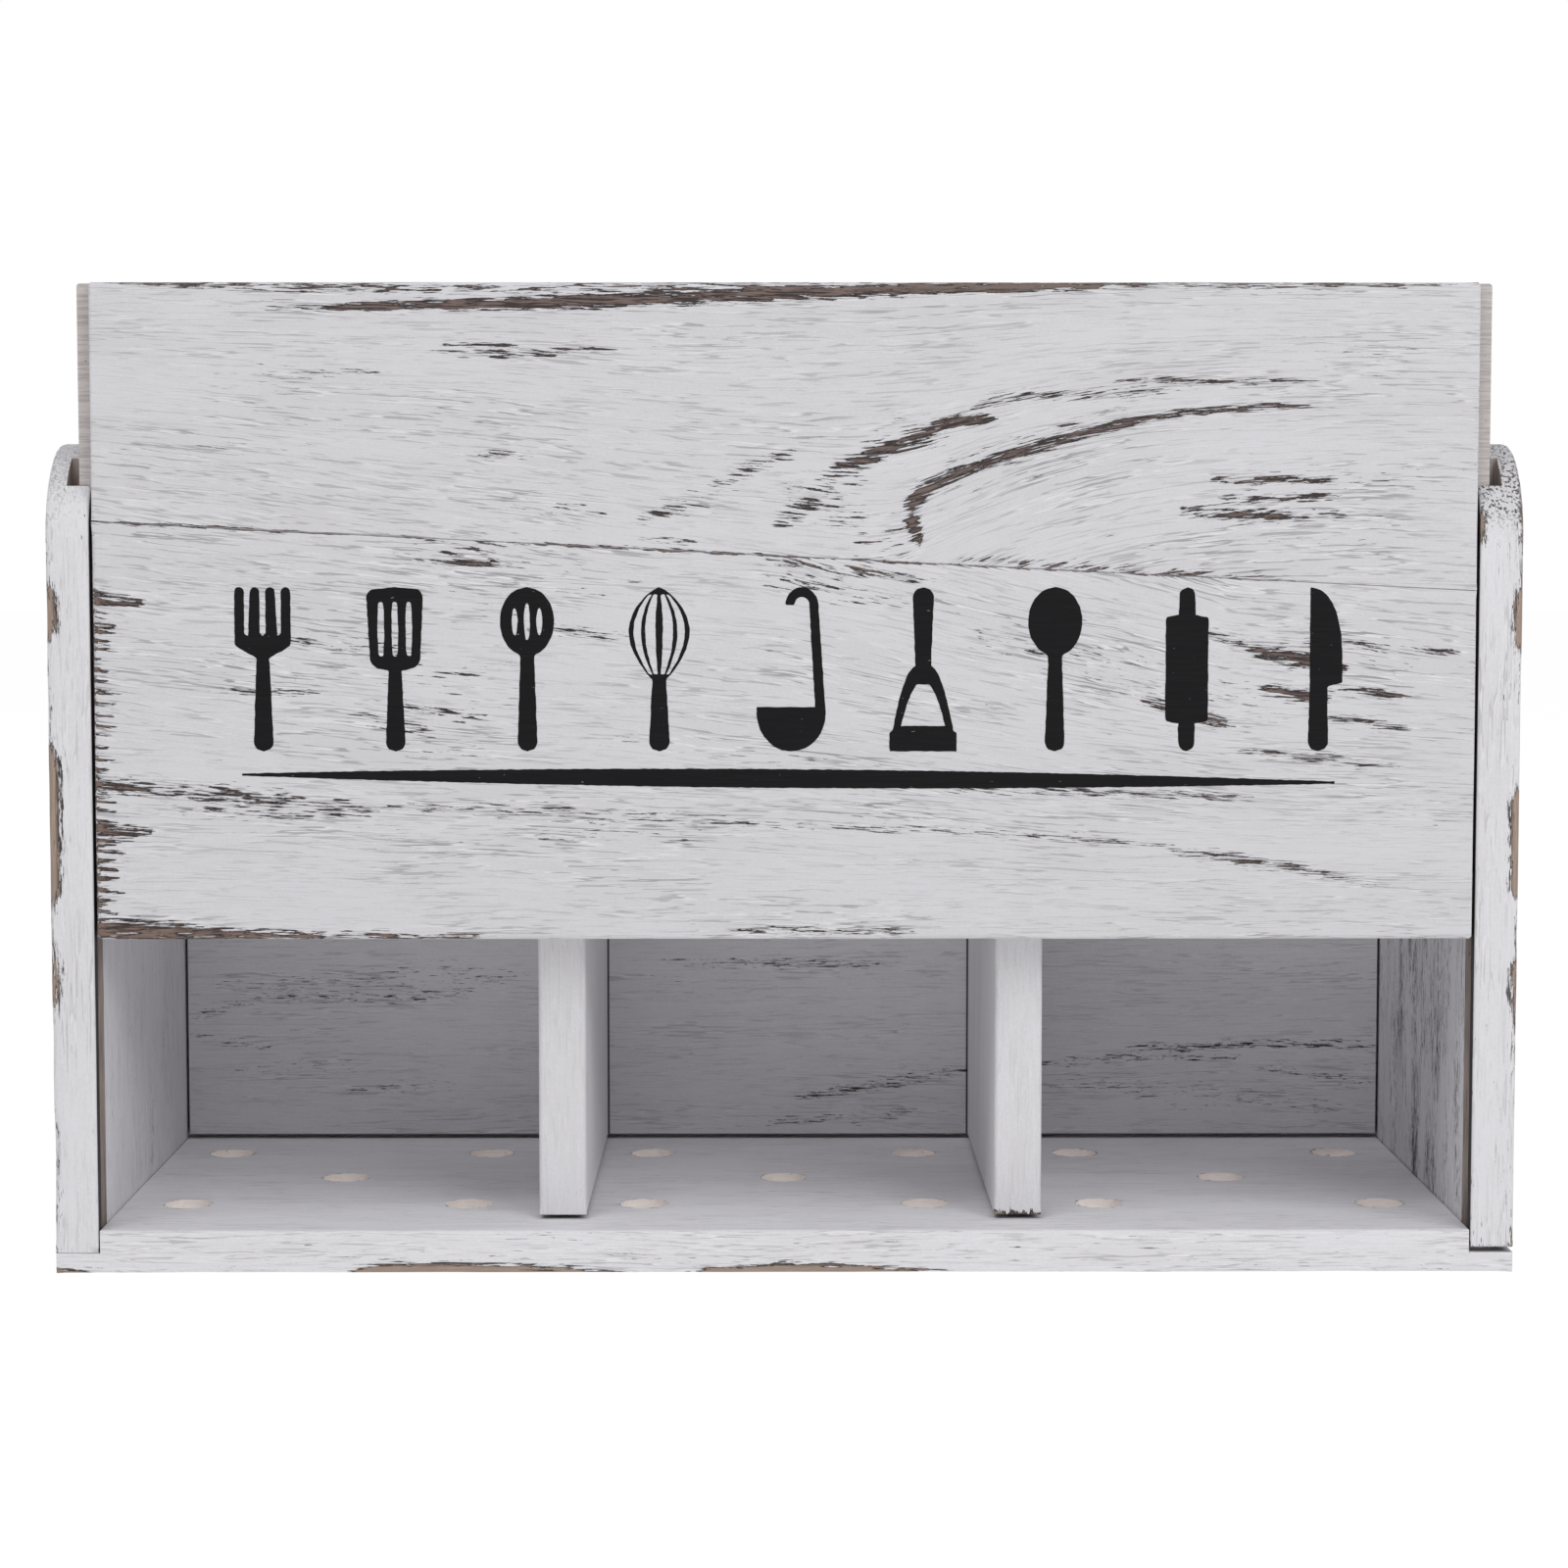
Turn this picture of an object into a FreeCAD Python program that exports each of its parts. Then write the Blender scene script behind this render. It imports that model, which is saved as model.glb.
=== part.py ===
"""Whitewashed utensil caddy: nailed box with two dividers and a sliding front panel.

Millimetres, +Z up. The origin is the middle of the footprint on the table, the front faces -Y and the
panel is built at the height where the photograph shows it, raised part of its way up the grooves.
"""
import FreeCAD
import Part
import math
import os

# Overall size
width = 300.0
depth = 117.0
side_height = 170.5

# Board thicknesses
side_t = 9.0
base_t = 9.0
back_t = 9.0
divider_t = 10.0
panel_t = 9.0

# Side boards: rounded front shoulder, groove and the lip of wood in front of it
shoulder_r = 20.0
lip_t = 3.5
groove_depth = 5.0

# Base board: wood left under each side, and the drain holes of one compartment
shelf_t = 4.3
hole_d = 10.0
hole_pitch_x = 60.0
hole_pitch_y = 60.0

# Dividers; the left one was nailed a little nearer the middle
divider_h = 133.5
divider_gap = 2.8
left_divider_in = 2.3

# Sliding panel: height, rise above the base, tongues and the slanting glue seam
panel_h = 133.5
panel_raise = 60.0
tongue_reach = 2.6
seam_left_h = 85.4
seam_right_h = 71.1

# Clearances of the sliding fit: on the flats of the tongue, and between panel and lips
slide_gap = 0.3
edge_gap = 0.4

# Eased arrises
ease_r = 0.8

# Brads of flat wire with a T-shaped head, and how far they stay from a board's end
brad_w = 1.25
brad_t = 1.05
brad_len = 22.0
brad_head_w = 2.1
brad_head_t = 0.9
brad_inset = 22.0

# Planes that several pieces share
front_y = -depth / 2
rear_y = depth / 2
inner_x = width / 2 - side_t
back_face_y = rear_y - back_t
tongue_front_y = front_y + lip_t + slide_gap
panel_rear_y = front_y + panel_t
groove_rear_y = panel_rear_y + slide_gap
compartment_w = (2 * inner_x - 2 * divider_t) / 3
compartment_pitch = compartment_w + divider_t
divider_x = {-1: left_divider_in - compartment_pitch / 2, 1: compartment_pitch / 2}
divider_front_y = panel_rear_y + divider_gap
panel_z = base_t + panel_raise

# Cutters run past the faces they open by this much
overrun = 1.0
TOL = 1e-4

RIGHT = FreeCAD.Vector(1, 0, 0)
FORWARD = FreeCAD.Vector(0, -1, 0)
UP = FreeCAD.Vector(0, 0, 1)


def block(x0, x1, y0, y1, z0, z1):
    """Box between two corners given in any order."""
    low = FreeCAD.Vector(min(x0, x1), min(y0, y1), min(z0, z1))
    return Part.makeBox(abs(x1 - x0), abs(y1 - y0), abs(z1 - z0), low)


def prism(points, sweep):
    """Solid swept from a closed polygon along a vector."""
    corners = [FreeCAD.Vector(*point) for point in points]
    return Part.Face(Part.makePolygon(corners + corners[:1])).extrude(sweep)


def lies_on(edge, **planes):
    """True if the whole edge lies on every plane named, such as x=3.0 or z=0.0."""
    box = edge.BoundBox
    spans = {"x": (box.XMin, box.XMax), "y": (box.YMin, box.YMax), "z": (box.ZMin, box.ZMax)}
    return all(abs(value - level) < TOL for axis, level in planes.items() for value in spans[axis])


def ease(solid, keep):
    """Round the arrises that the test picks, as sandpaper leaves them."""
    edges = [edge for edge in solid.Edges if keep(edge)]
    return solid.makeFillet(ease_r, edges)


def spread(first, last, count):
    """Evenly spaced places from first to last."""
    return [first + (last - first) * i / (count - 1) for i in range(count)]


def brad(head, direction, wide):
    """One brad, its head flush with the face it is driven into and wide along the grain there."""

    def bar(across, length):
        half = wide * (across / 2) + direction.cross(wide) * (brad_t / 2)
        near = head - half
        far = head + half + direction * length
        return block(near.x, far.x, near.y, far.y, near.z, far.z)

    return bar(brad_w, brad_len).fuse(bar(brad_head_w, brad_head_t)).removeSplitter()


def brads_at(heads, direction, wide):
    """Separate brads, one for each head position."""
    return [brad(FreeCAD.Vector(*head), direction, wide) for head in heads]


def drill(board, brads):
    """The board with the brads' own holes in it."""
    return board.cut(Part.makeCompound(brads))


def side_board(sign):
    """Side standing on the base's shelf, with its shoulder, eased arrises and open groove."""
    outer = sign * width / 2
    inner = sign * inner_x
    shoulder = FreeCAD.Vector(outer, front_y + shoulder_r, side_height - shoulder_r)
    mid = shoulder + FreeCAD.Vector(0, -math.sqrt(0.5), math.sqrt(0.5)) * shoulder_r
    foot_front = FreeCAD.Vector(outer, front_y, shelf_t)
    foot_rear = FreeCAD.Vector(outer, rear_y, shelf_t)
    top_rear = FreeCAD.Vector(outer, rear_y, side_height)
    top_front = FreeCAD.Vector(outer, front_y + shoulder_r, side_height)
    front_top = FreeCAD.Vector(outer, front_y, side_height - shoulder_r)
    outline = [
        Part.makeLine(foot_front, foot_rear),
        Part.makeLine(foot_rear, top_rear),
        Part.makeLine(top_rear, top_front),
        Part.Arc(top_front, mid, front_top).toShape(),
        Part.makeLine(front_top, foot_front),
    ]
    board = Part.Face(Part.Wire(outline)).extrude(FreeCAD.Vector(inner - outer, 0, 0))

    def exposed(edge):
        on_face = lies_on(edge, x=outer) or lies_on(edge, x=inner)
        return on_face and not lies_on(edge, z=shelf_t) and not lies_on(edge, y=rear_y)

    board = ease(board, exposed)
    bottom = inner + sign * groove_depth
    top = side_height + overrun
    groove = block(inner - sign * overrun, bottom, front_y + lip_t, groove_rear_y, shelf_t - overrun, top)
    return board.cut(groove)


def base_board():
    """Floor with a rabbet for each side and five drain holes in each compartment."""
    board = block(-width / 2, width / 2, front_y, rear_y, 0, base_t)
    for sign in (-1, 1):
        far = sign * (width / 2 + overrun)
        rabbet = block(sign * inner_x, far, front_y - overrun, rear_y + overrun, shelf_t, base_t + overrun)
        board = board.cut(rabbet)

    def exposed(edge):
        under = lies_on(edge, z=0, y=front_y) or lies_on(edge, z=0, y=rear_y)
        return under or lies_on(edge, z=base_t, y=front_y)

    board = ease(board, exposed)
    middle_y = (panel_rear_y + back_face_y) / 2
    dx = hole_pitch_x / 2
    dy = hole_pitch_y / 2
    drill_from = -overrun
    holes = []
    for column in (-1, 0, 1):
        x = column * compartment_pitch
        for px, py in ((-dx, -dy), (dx, -dy), (0, 0), (-dx, dy), (dx, dy)):
            centre = FreeCAD.Vector(x + px, middle_y + py, drill_from)
            holes.append(Part.makeCylinder(hole_d / 2, base_t + 2 * overrun, centre, UP))
    return board.cut(Part.makeCompound(holes))


def back_board():
    """Back between the sides, standing on the base, its top level with theirs."""
    board = block(-inner_x, inner_x, back_face_y, rear_y, base_t, side_height)
    return ease(board, lambda edge: lies_on(edge, z=side_height) and not lies_on(edge, x=edge.BoundBox.XMin))


def divider(sign):
    """Divider from just behind the panel to the back."""
    x = divider_x[sign]
    top = base_t + divider_h
    board = block(x - divider_t / 2, x + divider_t / 2, divider_front_y, back_face_y, base_t, top)

    def exposed(edge):
        at_front = lies_on(edge, y=divider_front_y) and not lies_on(edge, z=base_t)
        return at_front or (lies_on(edge, z=top) and not lies_on(edge, y=back_face_y))

    return ease(board, exposed)


def front_panel():
    """Panel with a rabbet in front of each end, which leaves the tongues that run in the grooves."""
    face_x = inner_x - edge_gap
    tongue_x = inner_x + tongue_reach
    plan = [
        (-face_x, front_y, panel_z),
        (face_x, front_y, panel_z),
        (face_x, tongue_front_y, panel_z),
        (tongue_x, tongue_front_y, panel_z),
        (tongue_x, panel_rear_y, panel_z),
        (-tongue_x, panel_rear_y, panel_z),
        (-tongue_x, tongue_front_y, panel_z),
        (-face_x, tongue_front_y, panel_z),
    ]
    panel = prism(plan, UP * panel_h)
    return ease(panel, lambda edge: lies_on(edge, y=front_y) or lies_on(edge, y=panel_rear_y))


def front_boards():
    """The two boards of the panel, parted on the glue seam."""
    panel = front_panel()
    reach = inner_x + tongue_reach
    left_z = panel_z + seam_left_h
    right_z = panel_z + seam_right_h
    low = panel_z - overrun
    start_y = front_y - overrun
    under_seam = [
        (-reach, start_y, left_z),
        (reach, start_y, right_z),
        (reach, start_y, low),
        (-reach, start_y, low),
    ]
    lower = prism(under_seam, FreeCAD.Vector(0, panel_t + 2 * overrun, 0))
    return panel.cut(lower), panel.common(lower)


def base_brad_heads():
    """Places under the base: three for each side, two for each divider, four for the back."""
    heads = []
    for sign in (-1, 1):
        side_mid = sign * (width - side_t) / 2
        heads += [(side_mid, y, 0) for y in spread(groove_rear_y + brad_inset, rear_y - brad_inset, 3)]
        rear = back_face_y - brad_inset
        heads += [(divider_x[sign], y, 0) for y in spread(divider_front_y + brad_inset, rear, 2)]
    back_mid = rear_y - back_t / 2
    heads += [(x, back_mid, 0) for x in spread(brad_inset - inner_x, inner_x - brad_inset, 4)]
    return heads


def side_brad_heads(sign):
    """Places on one side's outer face, opposite the end of the back board."""
    heights = spread(base_t + brad_inset, side_height - brad_inset, 3)
    return [(sign * width / 2, rear_y - back_t / 2, z) for z in heights]


def back_brad_heads():
    """Places on the back, two behind each divider."""
    heights = spread(base_t + 2 * brad_inset, base_t + divider_h - brad_inset, 2)
    return [(divider_x[sign], rear_y, z) for sign in (-1, 1) for z in heights]


base_brads = brads_at(base_brad_heads(), UP, RIGHT)
left_brads = brads_at(side_brad_heads(-1), RIGHT, UP)
right_brads = brads_at(side_brad_heads(1), -RIGHT, UP)
back_brads = brads_at(back_brad_heads(), FORWARD, RIGHT)
upper_board, lower_board = front_boards()

nodes = {
    "base_board": drill(base_board(), base_brads),
    "left_side_board": drill(side_board(-1), base_brads + left_brads),
    "right_side_board": drill(side_board(1), base_brads + right_brads),
    "back_board": drill(back_board(), base_brads + left_brads + right_brads + back_brads),
    "left_divider": drill(divider(-1), base_brads + back_brads),
    "right_divider": drill(divider(1), base_brads + back_brads),
    "front_upper_board": upper_board,
    "front_lower_board": lower_board,
    "base_brads": Part.makeCompound(base_brads),
    "left_side_brads": Part.makeCompound(left_brads),
    "right_side_brads": Part.makeCompound(right_brads),
    "back_brads": Part.makeCompound(back_brads),
}

os.makedirs("parts", exist_ok=True)
for name, shape in nodes.items():
    shape.exportStep(os.path.join("parts", name + ".step"))
    print(name, shape.isValid(), len(shape.Solids), round(shape.Volume / 1000, 2), "cm3")
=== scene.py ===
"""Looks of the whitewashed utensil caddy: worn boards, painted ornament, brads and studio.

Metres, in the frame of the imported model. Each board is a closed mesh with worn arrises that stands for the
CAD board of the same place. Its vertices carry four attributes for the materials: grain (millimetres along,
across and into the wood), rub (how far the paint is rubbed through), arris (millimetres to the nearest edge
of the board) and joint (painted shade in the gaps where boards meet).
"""
import math

import bmesh
import bpy
import numpy as np
from bpy.props import FloatProperty, FloatVectorProperty, PointerProperty
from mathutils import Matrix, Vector, noise


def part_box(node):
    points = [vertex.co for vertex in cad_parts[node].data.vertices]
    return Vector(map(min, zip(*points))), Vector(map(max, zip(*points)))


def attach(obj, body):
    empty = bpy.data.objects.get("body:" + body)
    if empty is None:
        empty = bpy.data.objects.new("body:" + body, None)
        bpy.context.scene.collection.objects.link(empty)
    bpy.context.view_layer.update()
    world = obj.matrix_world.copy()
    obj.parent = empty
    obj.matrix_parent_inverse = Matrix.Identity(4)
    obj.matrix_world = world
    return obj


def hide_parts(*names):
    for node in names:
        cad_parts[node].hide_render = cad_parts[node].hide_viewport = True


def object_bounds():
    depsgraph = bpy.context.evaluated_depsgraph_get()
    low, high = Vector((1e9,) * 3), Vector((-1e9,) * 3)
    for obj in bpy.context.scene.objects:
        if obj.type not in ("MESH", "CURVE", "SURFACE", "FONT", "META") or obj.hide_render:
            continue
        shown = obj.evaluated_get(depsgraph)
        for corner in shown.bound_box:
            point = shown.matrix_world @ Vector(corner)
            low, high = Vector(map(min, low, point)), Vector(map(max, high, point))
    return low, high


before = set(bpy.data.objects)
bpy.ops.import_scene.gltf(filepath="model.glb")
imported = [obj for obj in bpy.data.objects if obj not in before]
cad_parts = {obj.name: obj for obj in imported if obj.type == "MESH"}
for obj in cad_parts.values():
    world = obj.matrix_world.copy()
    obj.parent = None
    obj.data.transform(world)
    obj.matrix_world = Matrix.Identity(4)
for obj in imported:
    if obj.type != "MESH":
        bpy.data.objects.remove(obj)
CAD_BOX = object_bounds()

bl_info = {
    "name": "Whitewashed Utensil Caddy",
    "version": (1, 0, 0),
    "blender": (4, 5, 0),
    "location": "View3D > Sidebar > Caddy",
    "description": "Dresses the caddy's boards, brads and painted ornament and sets up its studio",
    "category": "Add Mesh",
}

MM = 0.001
X, Y, Z = 0, 1, 2


# Values that a user would change

def length(name, description, millimetres):
    """A size in the panel of the add-on."""
    return FloatProperty(
        name=name, description=description, default=millimetres * MM, min=0.0, precision=5, unit="LENGTH"
    )


def colour(name, description, red, green, blue):
    """A colour in the panel of the add-on."""
    return FloatVectorProperty(
        name=name, description=description, default=(red, green, blue), min=0.0, max=1.0, subtype="COLOR"
    )


class CaddySizes(bpy.types.PropertyGroup):
    """Sizes of the boards' details and of the painted ornament."""

    skin: length("Skin", "How far the dressed faces lie under the CAD faces, so that brad heads show", 0.08)
    shoulder: length("Shoulder", "Radius of the sides' rounded front top corner", 20.0)
    lip: length("Lip", "Wood left in front of the groove", 3.5)
    groove_depth: length("Groove depth", "Depth of the groove in each side", 5.0)
    slide_gap: length("Slide gap", "Play of the tongue in the groove", 0.3)
    edge_gap: length("Edge gap", "Gap between the panel's face and the lips", 0.4)
    hole: length("Drain hole", "Diameter of a drain hole", 10.0)
    hole_pitch: length("Hole pitch", "Spacing of the drain holes of one compartment", 60.0)
    ease: length("Arris", "Usual radius of a worn arris", 0.8)
    chip: length("Chip", "Extra depth of the chips along an arris", 0.9)
    mesh_step: length("Mesh step", "Spacing of the boards' mesh lines", 1.5)
    tool: length("Tool height", "Height of the painted kitchen tools", 33.4)
    rule: length("Rule", "Greatest width of the painted rule under the tools", 3.4)
    print_lift: length("Print lift", "Thickness of the black paint", 0.05)


class CaddyColours(bpy.types.PropertyGroup):
    """Colours of the finishes."""

    paint: colour("Whitewash", "Cool white paint", 0.772, 0.765, 0.797)
    warm: colour("Thin whitewash", "The same paint where it is a little thinner", 0.716, 0.704, 0.727)
    # light is a painted highlight on the grain's ridges; shade is also the painted shade beside them
    light: colour("Raised paint", "Thick paint on the ridges of the grain", 0.89, 0.88, 0.91)
    shade: colour("Fibre shade", "Grey that shows between the fibres", 0.31, 0.305, 0.322)
    stain: colour("Stain", "Dark old stain under the paint", 0.032, 0.026, 0.026)
    worn: colour("Worn wood", "Brown wood where the stain is rubbed off", 0.185, 0.136, 0.122)
    bare: colour("Bare wood", "Tan wood along worn arrises", 0.40, 0.305, 0.25)
    upper_bare: colour("Upper bare wood", "Wood along the upper front board's arrises", 0.21, 0.158, 0.142)
    lower_bare: colour("Lower bare wood", "Wood along the lower front board's arrises", 0.235, 0.165, 0.136)
    groove: colour("Groove wood", "Raw wood in the grooves", 0.40, 0.34, 0.315)
    tongue: colour("Tongue wood", "Rubbed wood of the panel's tongues", 0.62, 0.575, 0.565)
    drilled: colour("Drilled wood", "Raw wood in the drain holes", 0.93, 0.865, 0.835)
    ink: colour("Black paint", "Paint of the ornament", 0.005, 0.005, 0.006)
    dry_ink: colour("Dry black paint", "The same paint where the fibres show", 0.014, 0.0135, 0.014)
    steel: colour("Brad steel", "Bright wire of the brads", 0.52, 0.51, 0.49)


def values(context):
    """The sizes and colours in the panel of the add-on."""
    return context.scene.caddy_sizes, context.scene.caddy_colours


# Outlines

CORNER_STATIONS = 4
SIDE_EXTRA = 2 * CORNER_STATIONS + 1
BEVEL_ANGLES = np.radians((0.0, 30.0, 60.0, 90.0))
RIM_STEP = 1.6 * MM
RIM_WANDER = 0.05 * MM
RIM_PITCH = 31 * MM
CORNER_SHARE = 0.9
CORNER_GROWTH = 0.35
STEP_LEDGE = 0.3 * MM
NOISE_ROW = 0.37
EASE_PITCH = 9 * MM
EASE_SWING = 0.3
SMOOTHING = 5
# Dents and nicks of an arris: pitch, level that they start at, depth in chips and place in the noise
DENTS = (13 * MM, 0.15, 1.3, 5.3)
NICKS = (3.5 * MM, 0.3, 0.9, 9.1)


def unit(vector):
    """The vector at length one."""
    return vector / np.linalg.norm(vector)


def outline(corners, radii, counts):
    """Stations and inward normals round a four-sided outline, counterclockwise from the first corner."""
    corners = np.asarray(corners, float)
    leaving = np.linspace(math.pi / 4, math.pi / 2, CORNER_STATIONS + 1)[:, None]
    entering = np.linspace(0.0, math.pi / 4, CORNER_STATIONS, endpoint=False)[:, None]
    points = []
    inward = []

    def turn_corner(corner, came, goes, radius, angles):
        turn = goes * np.cos(angles) - came * np.sin(angles)
        points.append(corner + (goes - came) * radius - turn * radius)
        inward.append(turn)

    for k in range(4):
        here, after = corners[k], corners[(k + 1) % 4]
        came, along = unit(here - corners[k - 1]), unit(after - here)
        goes = unit(corners[(k + 2) % 4] - after)
        first, last = radii[k], radii[(k + 1) % 4]
        turn_corner(here, came, along, first, leaving)
        run = np.arange(1, counts[k] + 1)[:, None] / (counts[k] + 1)
        start, end = here + along * first, after - along * last
        points.append(start + (end - start) * run)
        inward.append(np.tile((-along[1], along[0]), (counts[k], 1)))
        turn_corner(after, along, goes, last, entering)
    return np.concatenate(points), np.concatenate(inward)


def side_numbers(counts):
    """Number of the side that each station of an outline belongs to."""
    return np.repeat(np.arange(4), [count + SIDE_EXTRA for count in counts])


def wander(stations, pitch, seed):
    """Smooth noise from -1 to 1 along a run of places."""
    return np.array([noise.noise(Vector((place / pitch, seed, NOISE_ROW))) for place in stations])


def worn_radius(points, counts, corner_radii, eases, chips, seed):
    """Radius of the arris at each station: each side's own ease, unsteady and with chips.

    It is the same all round a corner and grows slowly from there, or the grids of the faces would fold.
    """
    place = np.cumsum(np.linalg.norm(np.diff(points, axis=0, prepend=points[-1:]), axis=1))
    sides = side_numbers(counts)
    radius = np.asarray(eases)[sides] * (1.0 + EASE_SWING * wander(place, EASE_PITCH, seed))
    for pitch, level, depth, shift in (DENTS, NICKS):
        chip = np.clip(wander(place, pitch, seed + shift) - level, 0.0, None)
        radius += np.asarray(chips)[sides] * depth * chip
    half = SMOOTHING // 2
    ring = np.concatenate((radius[-half:], radius, radius[:half]))
    radius = np.convolve(ring, np.ones(SMOOTHING) / SMOOTHING, "valid")
    radius = np.minimum(radius, corner_limits(counts, corner_radii))
    first = 0
    for count in counts:
        corner = np.arange(first - CORNER_STATIONS, first + CORNER_STATIONS + 1)
        gap = np.abs(place - place[first])
        gap = np.minimum(gap, place[-1] - gap)
        away = np.clip(gap - gap[corner].max(), 0.0, None)
        radius = np.minimum(radius, radius[corner].min() + CORNER_GROWTH * away)
        first += count + SIDE_EXTRA
    return radius


def corner_limits(counts, corner_radii):
    """Greatest radius of the arris at each station, so that it never folds over in a tight corner."""
    most = [CORNER_SHARE * radius - 2 * RIM_WANDER for radius in corner_radii]
    limits = []
    for k, count in enumerate(counts):
        limits += [most[k]] * (CORNER_STATIONS + 1) + [np.inf] * count + [most[(k + 1) % 4]] * CORNER_STATIONS
    return np.array(limits)


# Boards

LEAST_COUNT = 4
WEAR_SPAN = 6
WEAR_PITCH = 24 * MM
WEAR_LEVEL, WEAR_SWING, WEAR_MOST = 0.85, 0.9, 1.25


class Board:
    """A board as an outline swept through its thickness, with worn arrises and an optional step.

    The outline lies in the plane of two frame axes, and depth is measured from the near face along the
    third. Behind the step the board has the far outline. Eases, chips and wears are pairs, for the near and
    the far face, of values for the four sides.
    """

    def __init__(
        self, axes, face, inward, thickness, near, far=None, step=None, *,
        radii, eases, chips, wears, seed, reach=1.0,
    ):
        self.axes, self.face, self.inward, self.thickness = axes, face, inward, thickness
        self.corners = (near, near if far is None else far)
        self.step, self.radii, self.eases, self.chips = step, radii, eases, chips
        self.wears, self.seed, self.reach = wears, seed, reach

    def to_frame(self, local):
        """Places in the frame from places across, up and into the board."""
        out = np.empty_like(local)
        out[:, self.axes] = local
        out[:, self.axes[2]] = self.face + self.inward * local[:, 2]
        return out

    def to_board(self, places):
        """Places across, up and into the board from places in the frame."""
        local = places[:, self.axes]
        local[:, 2] = (local[:, 2] - self.face) * self.inward
        return local

    def loops(self, spacing):
        """The near and the far outline with as many stations each."""
        near = np.asarray(self.corners[0])
        sides = np.linalg.norm(np.roll(near, -1, axis=0) - near, axis=1)
        self.counts = 2 * [max(LEAST_COUNT, round(max(sides[k::2]) / spacing[k])) for k in range(2)]
        self.outlines = [outline(corners, self.radii, self.counts) for corners in self.corners]
        return self.outlines

    def mesh(self, name, spacing):
        """The closed mesh of quads, as a new Blender mesh in the frame."""
        rims = []
        for k, (line, inward) in enumerate(self.loops(spacing)):
            line = line + inward * RIM_WANDER * (1 + wander(line.sum(axis=1), RIM_PITCH, self.seed)[:, None])
            worn = worn_radius(line, self.counts, self.radii, self.eases[k], self.chips[k], self.seed + 1 + k)
            rims.append((line, inward, worn))
        (near, near_in, near_r), (far, _, far_r) = rims
        rings = []

        def ring(points, depth):
            rings.append(np.column_stack((points, np.broadcast_to(depth, len(points)))))

        def bevel(line, inward, worn, angle):
            return line + inward * (worn * (1 - math.sin(angle)))[:, None], worn * (1 - math.cos(angle))

        for angle in BEVEL_ANGLES:
            ring(*bevel(*rims[0], angle))
        rim_end = self.thickness - far_r
        runs = [(near, near_r, rim_end)]
        if self.step is not None:
            ledge = np.abs(((far - near) * near_in).sum(axis=1))
            resume = np.where(ledge > STEP_LEDGE, self.step, self.step + STEP_LEDGE)
            runs = [(near, near_r, np.full(len(near), self.step)), (far, resume, rim_end)]
        for index, (points, start, end) in enumerate(runs):
            pieces = max(2, round(float(np.mean(end - start)) / RIM_STEP))
            for k in range(0 if index else 1, pieces + 1):
                ring(points, start + (end - start) * k / pieces)
        for angle in BEVEL_ANGLES[-2::-1]:
            points, depth = bevel(*rims[1], angle)
            ring(points, self.thickness - depth)
        return self.weave(name, rings)

    def weave(self, name, rings):
        """Joins the rings into a skin and closes both faces with grids."""
        across, up = self.counts[0] + SIDE_EXTRA, self.counts[1] + SIDE_EXTRA
        columns, rows = np.arange(across), np.arange(up)
        number = np.arange((across + 1) * (up + 1)).reshape(across + 1, up + 1)
        border = np.concatenate((
            number[columns, 0], number[across, rows], number[across - columns, up], number[0, up - rows],
        ))
        around = np.arange(len(border))
        skin = [2 * number.size + k * len(border) + around for k in range(len(rings) - 2)]
        tracks = [border] + skin + [border + number.size]
        corners = (number[:-1, :-1], number[1:, :-1], number[1:, 1:], number[:-1, 1:])
        quads = np.column_stack([corner.ravel() for corner in corners])
        faces = [quads, quads[:, ::-1] + number.size]
        for inner, outer in zip(tracks, tracks[1:]):
            faces.append(np.column_stack((inner, outer, np.roll(outer, -1), np.roll(inner, -1))))
        points = [face_grid(rings[0], across, up), face_grid(rings[-1], across, up)] + rings[1:-1]
        return mesh_of(name, self.to_frame(np.concatenate(points)), np.concatenate(faces).tolist())

    def halves(self, local):
        """The rows of the places before and behind the step, each with its outline."""
        behind = np.zeros(len(local), bool) if self.step is None else local[:, 2] > self.step
        return (~behind, self.outlines[0][0]), (behind, self.outlines[1][0])

    def arris_distance(self, local):
        """Millimetres from each place on the skin to the nearest arris."""
        gap = np.empty(len(local))
        for rows, points in self.halves(local):
            between = (points + np.roll(points, -1, axis=0)) / 2
            gap[rows] = nearest(local[rows][:, :2], np.concatenate((points, between)))
        depth = np.minimum(local[:, 2], self.thickness - local[:, 2])
        return np.maximum(gap, depth) / MM

    def arris_wear(self, local, arris):
        """How far the paint is worn off near the arrises, in patches along them."""
        wear = np.zeros(len(local))
        close = np.flatnonzero(arris < WEAR_SPAN * self.reach)
        part = local[close]
        shift = Vector((self.seed, 0.0, 0.0))
        patchy = np.array([noise.noise(Vector(place) / WEAR_PITCH + shift) for place in part])
        patchy = np.clip(WEAR_LEVEL + WEAR_SWING * patchy, 0.0, WEAR_MOST)
        sides = side_numbers(self.counts)
        level = np.zeros(len(part))
        for k in range(4):
            gap = np.empty(len(part))
            for rows, points in self.halves(part):
                gap[rows] = nearest(part[rows][:, :2], points[sides == k])
            for depth, wears in zip((part[:, 2], self.thickness - part[:, 2]), self.wears):
                level = np.maximum(level, wears[k] * np.exp(-np.hypot(gap, depth) / MM / self.reach))
        wear[close] = level * patchy
        return wear


SLICE = 2000


def nearest(places, marks):
    """Distance from each place to the nearest mark, a slice of places at a time."""
    out = np.empty(len(places))
    for start in range(0, len(places), SLICE):
        part = places[start:start + SLICE]
        squares = ((part[:, None] - marks[None]) ** 2).sum(axis=2)
        out[start:start + SLICE] = np.sqrt(squares.min(axis=1))
    return out


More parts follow.
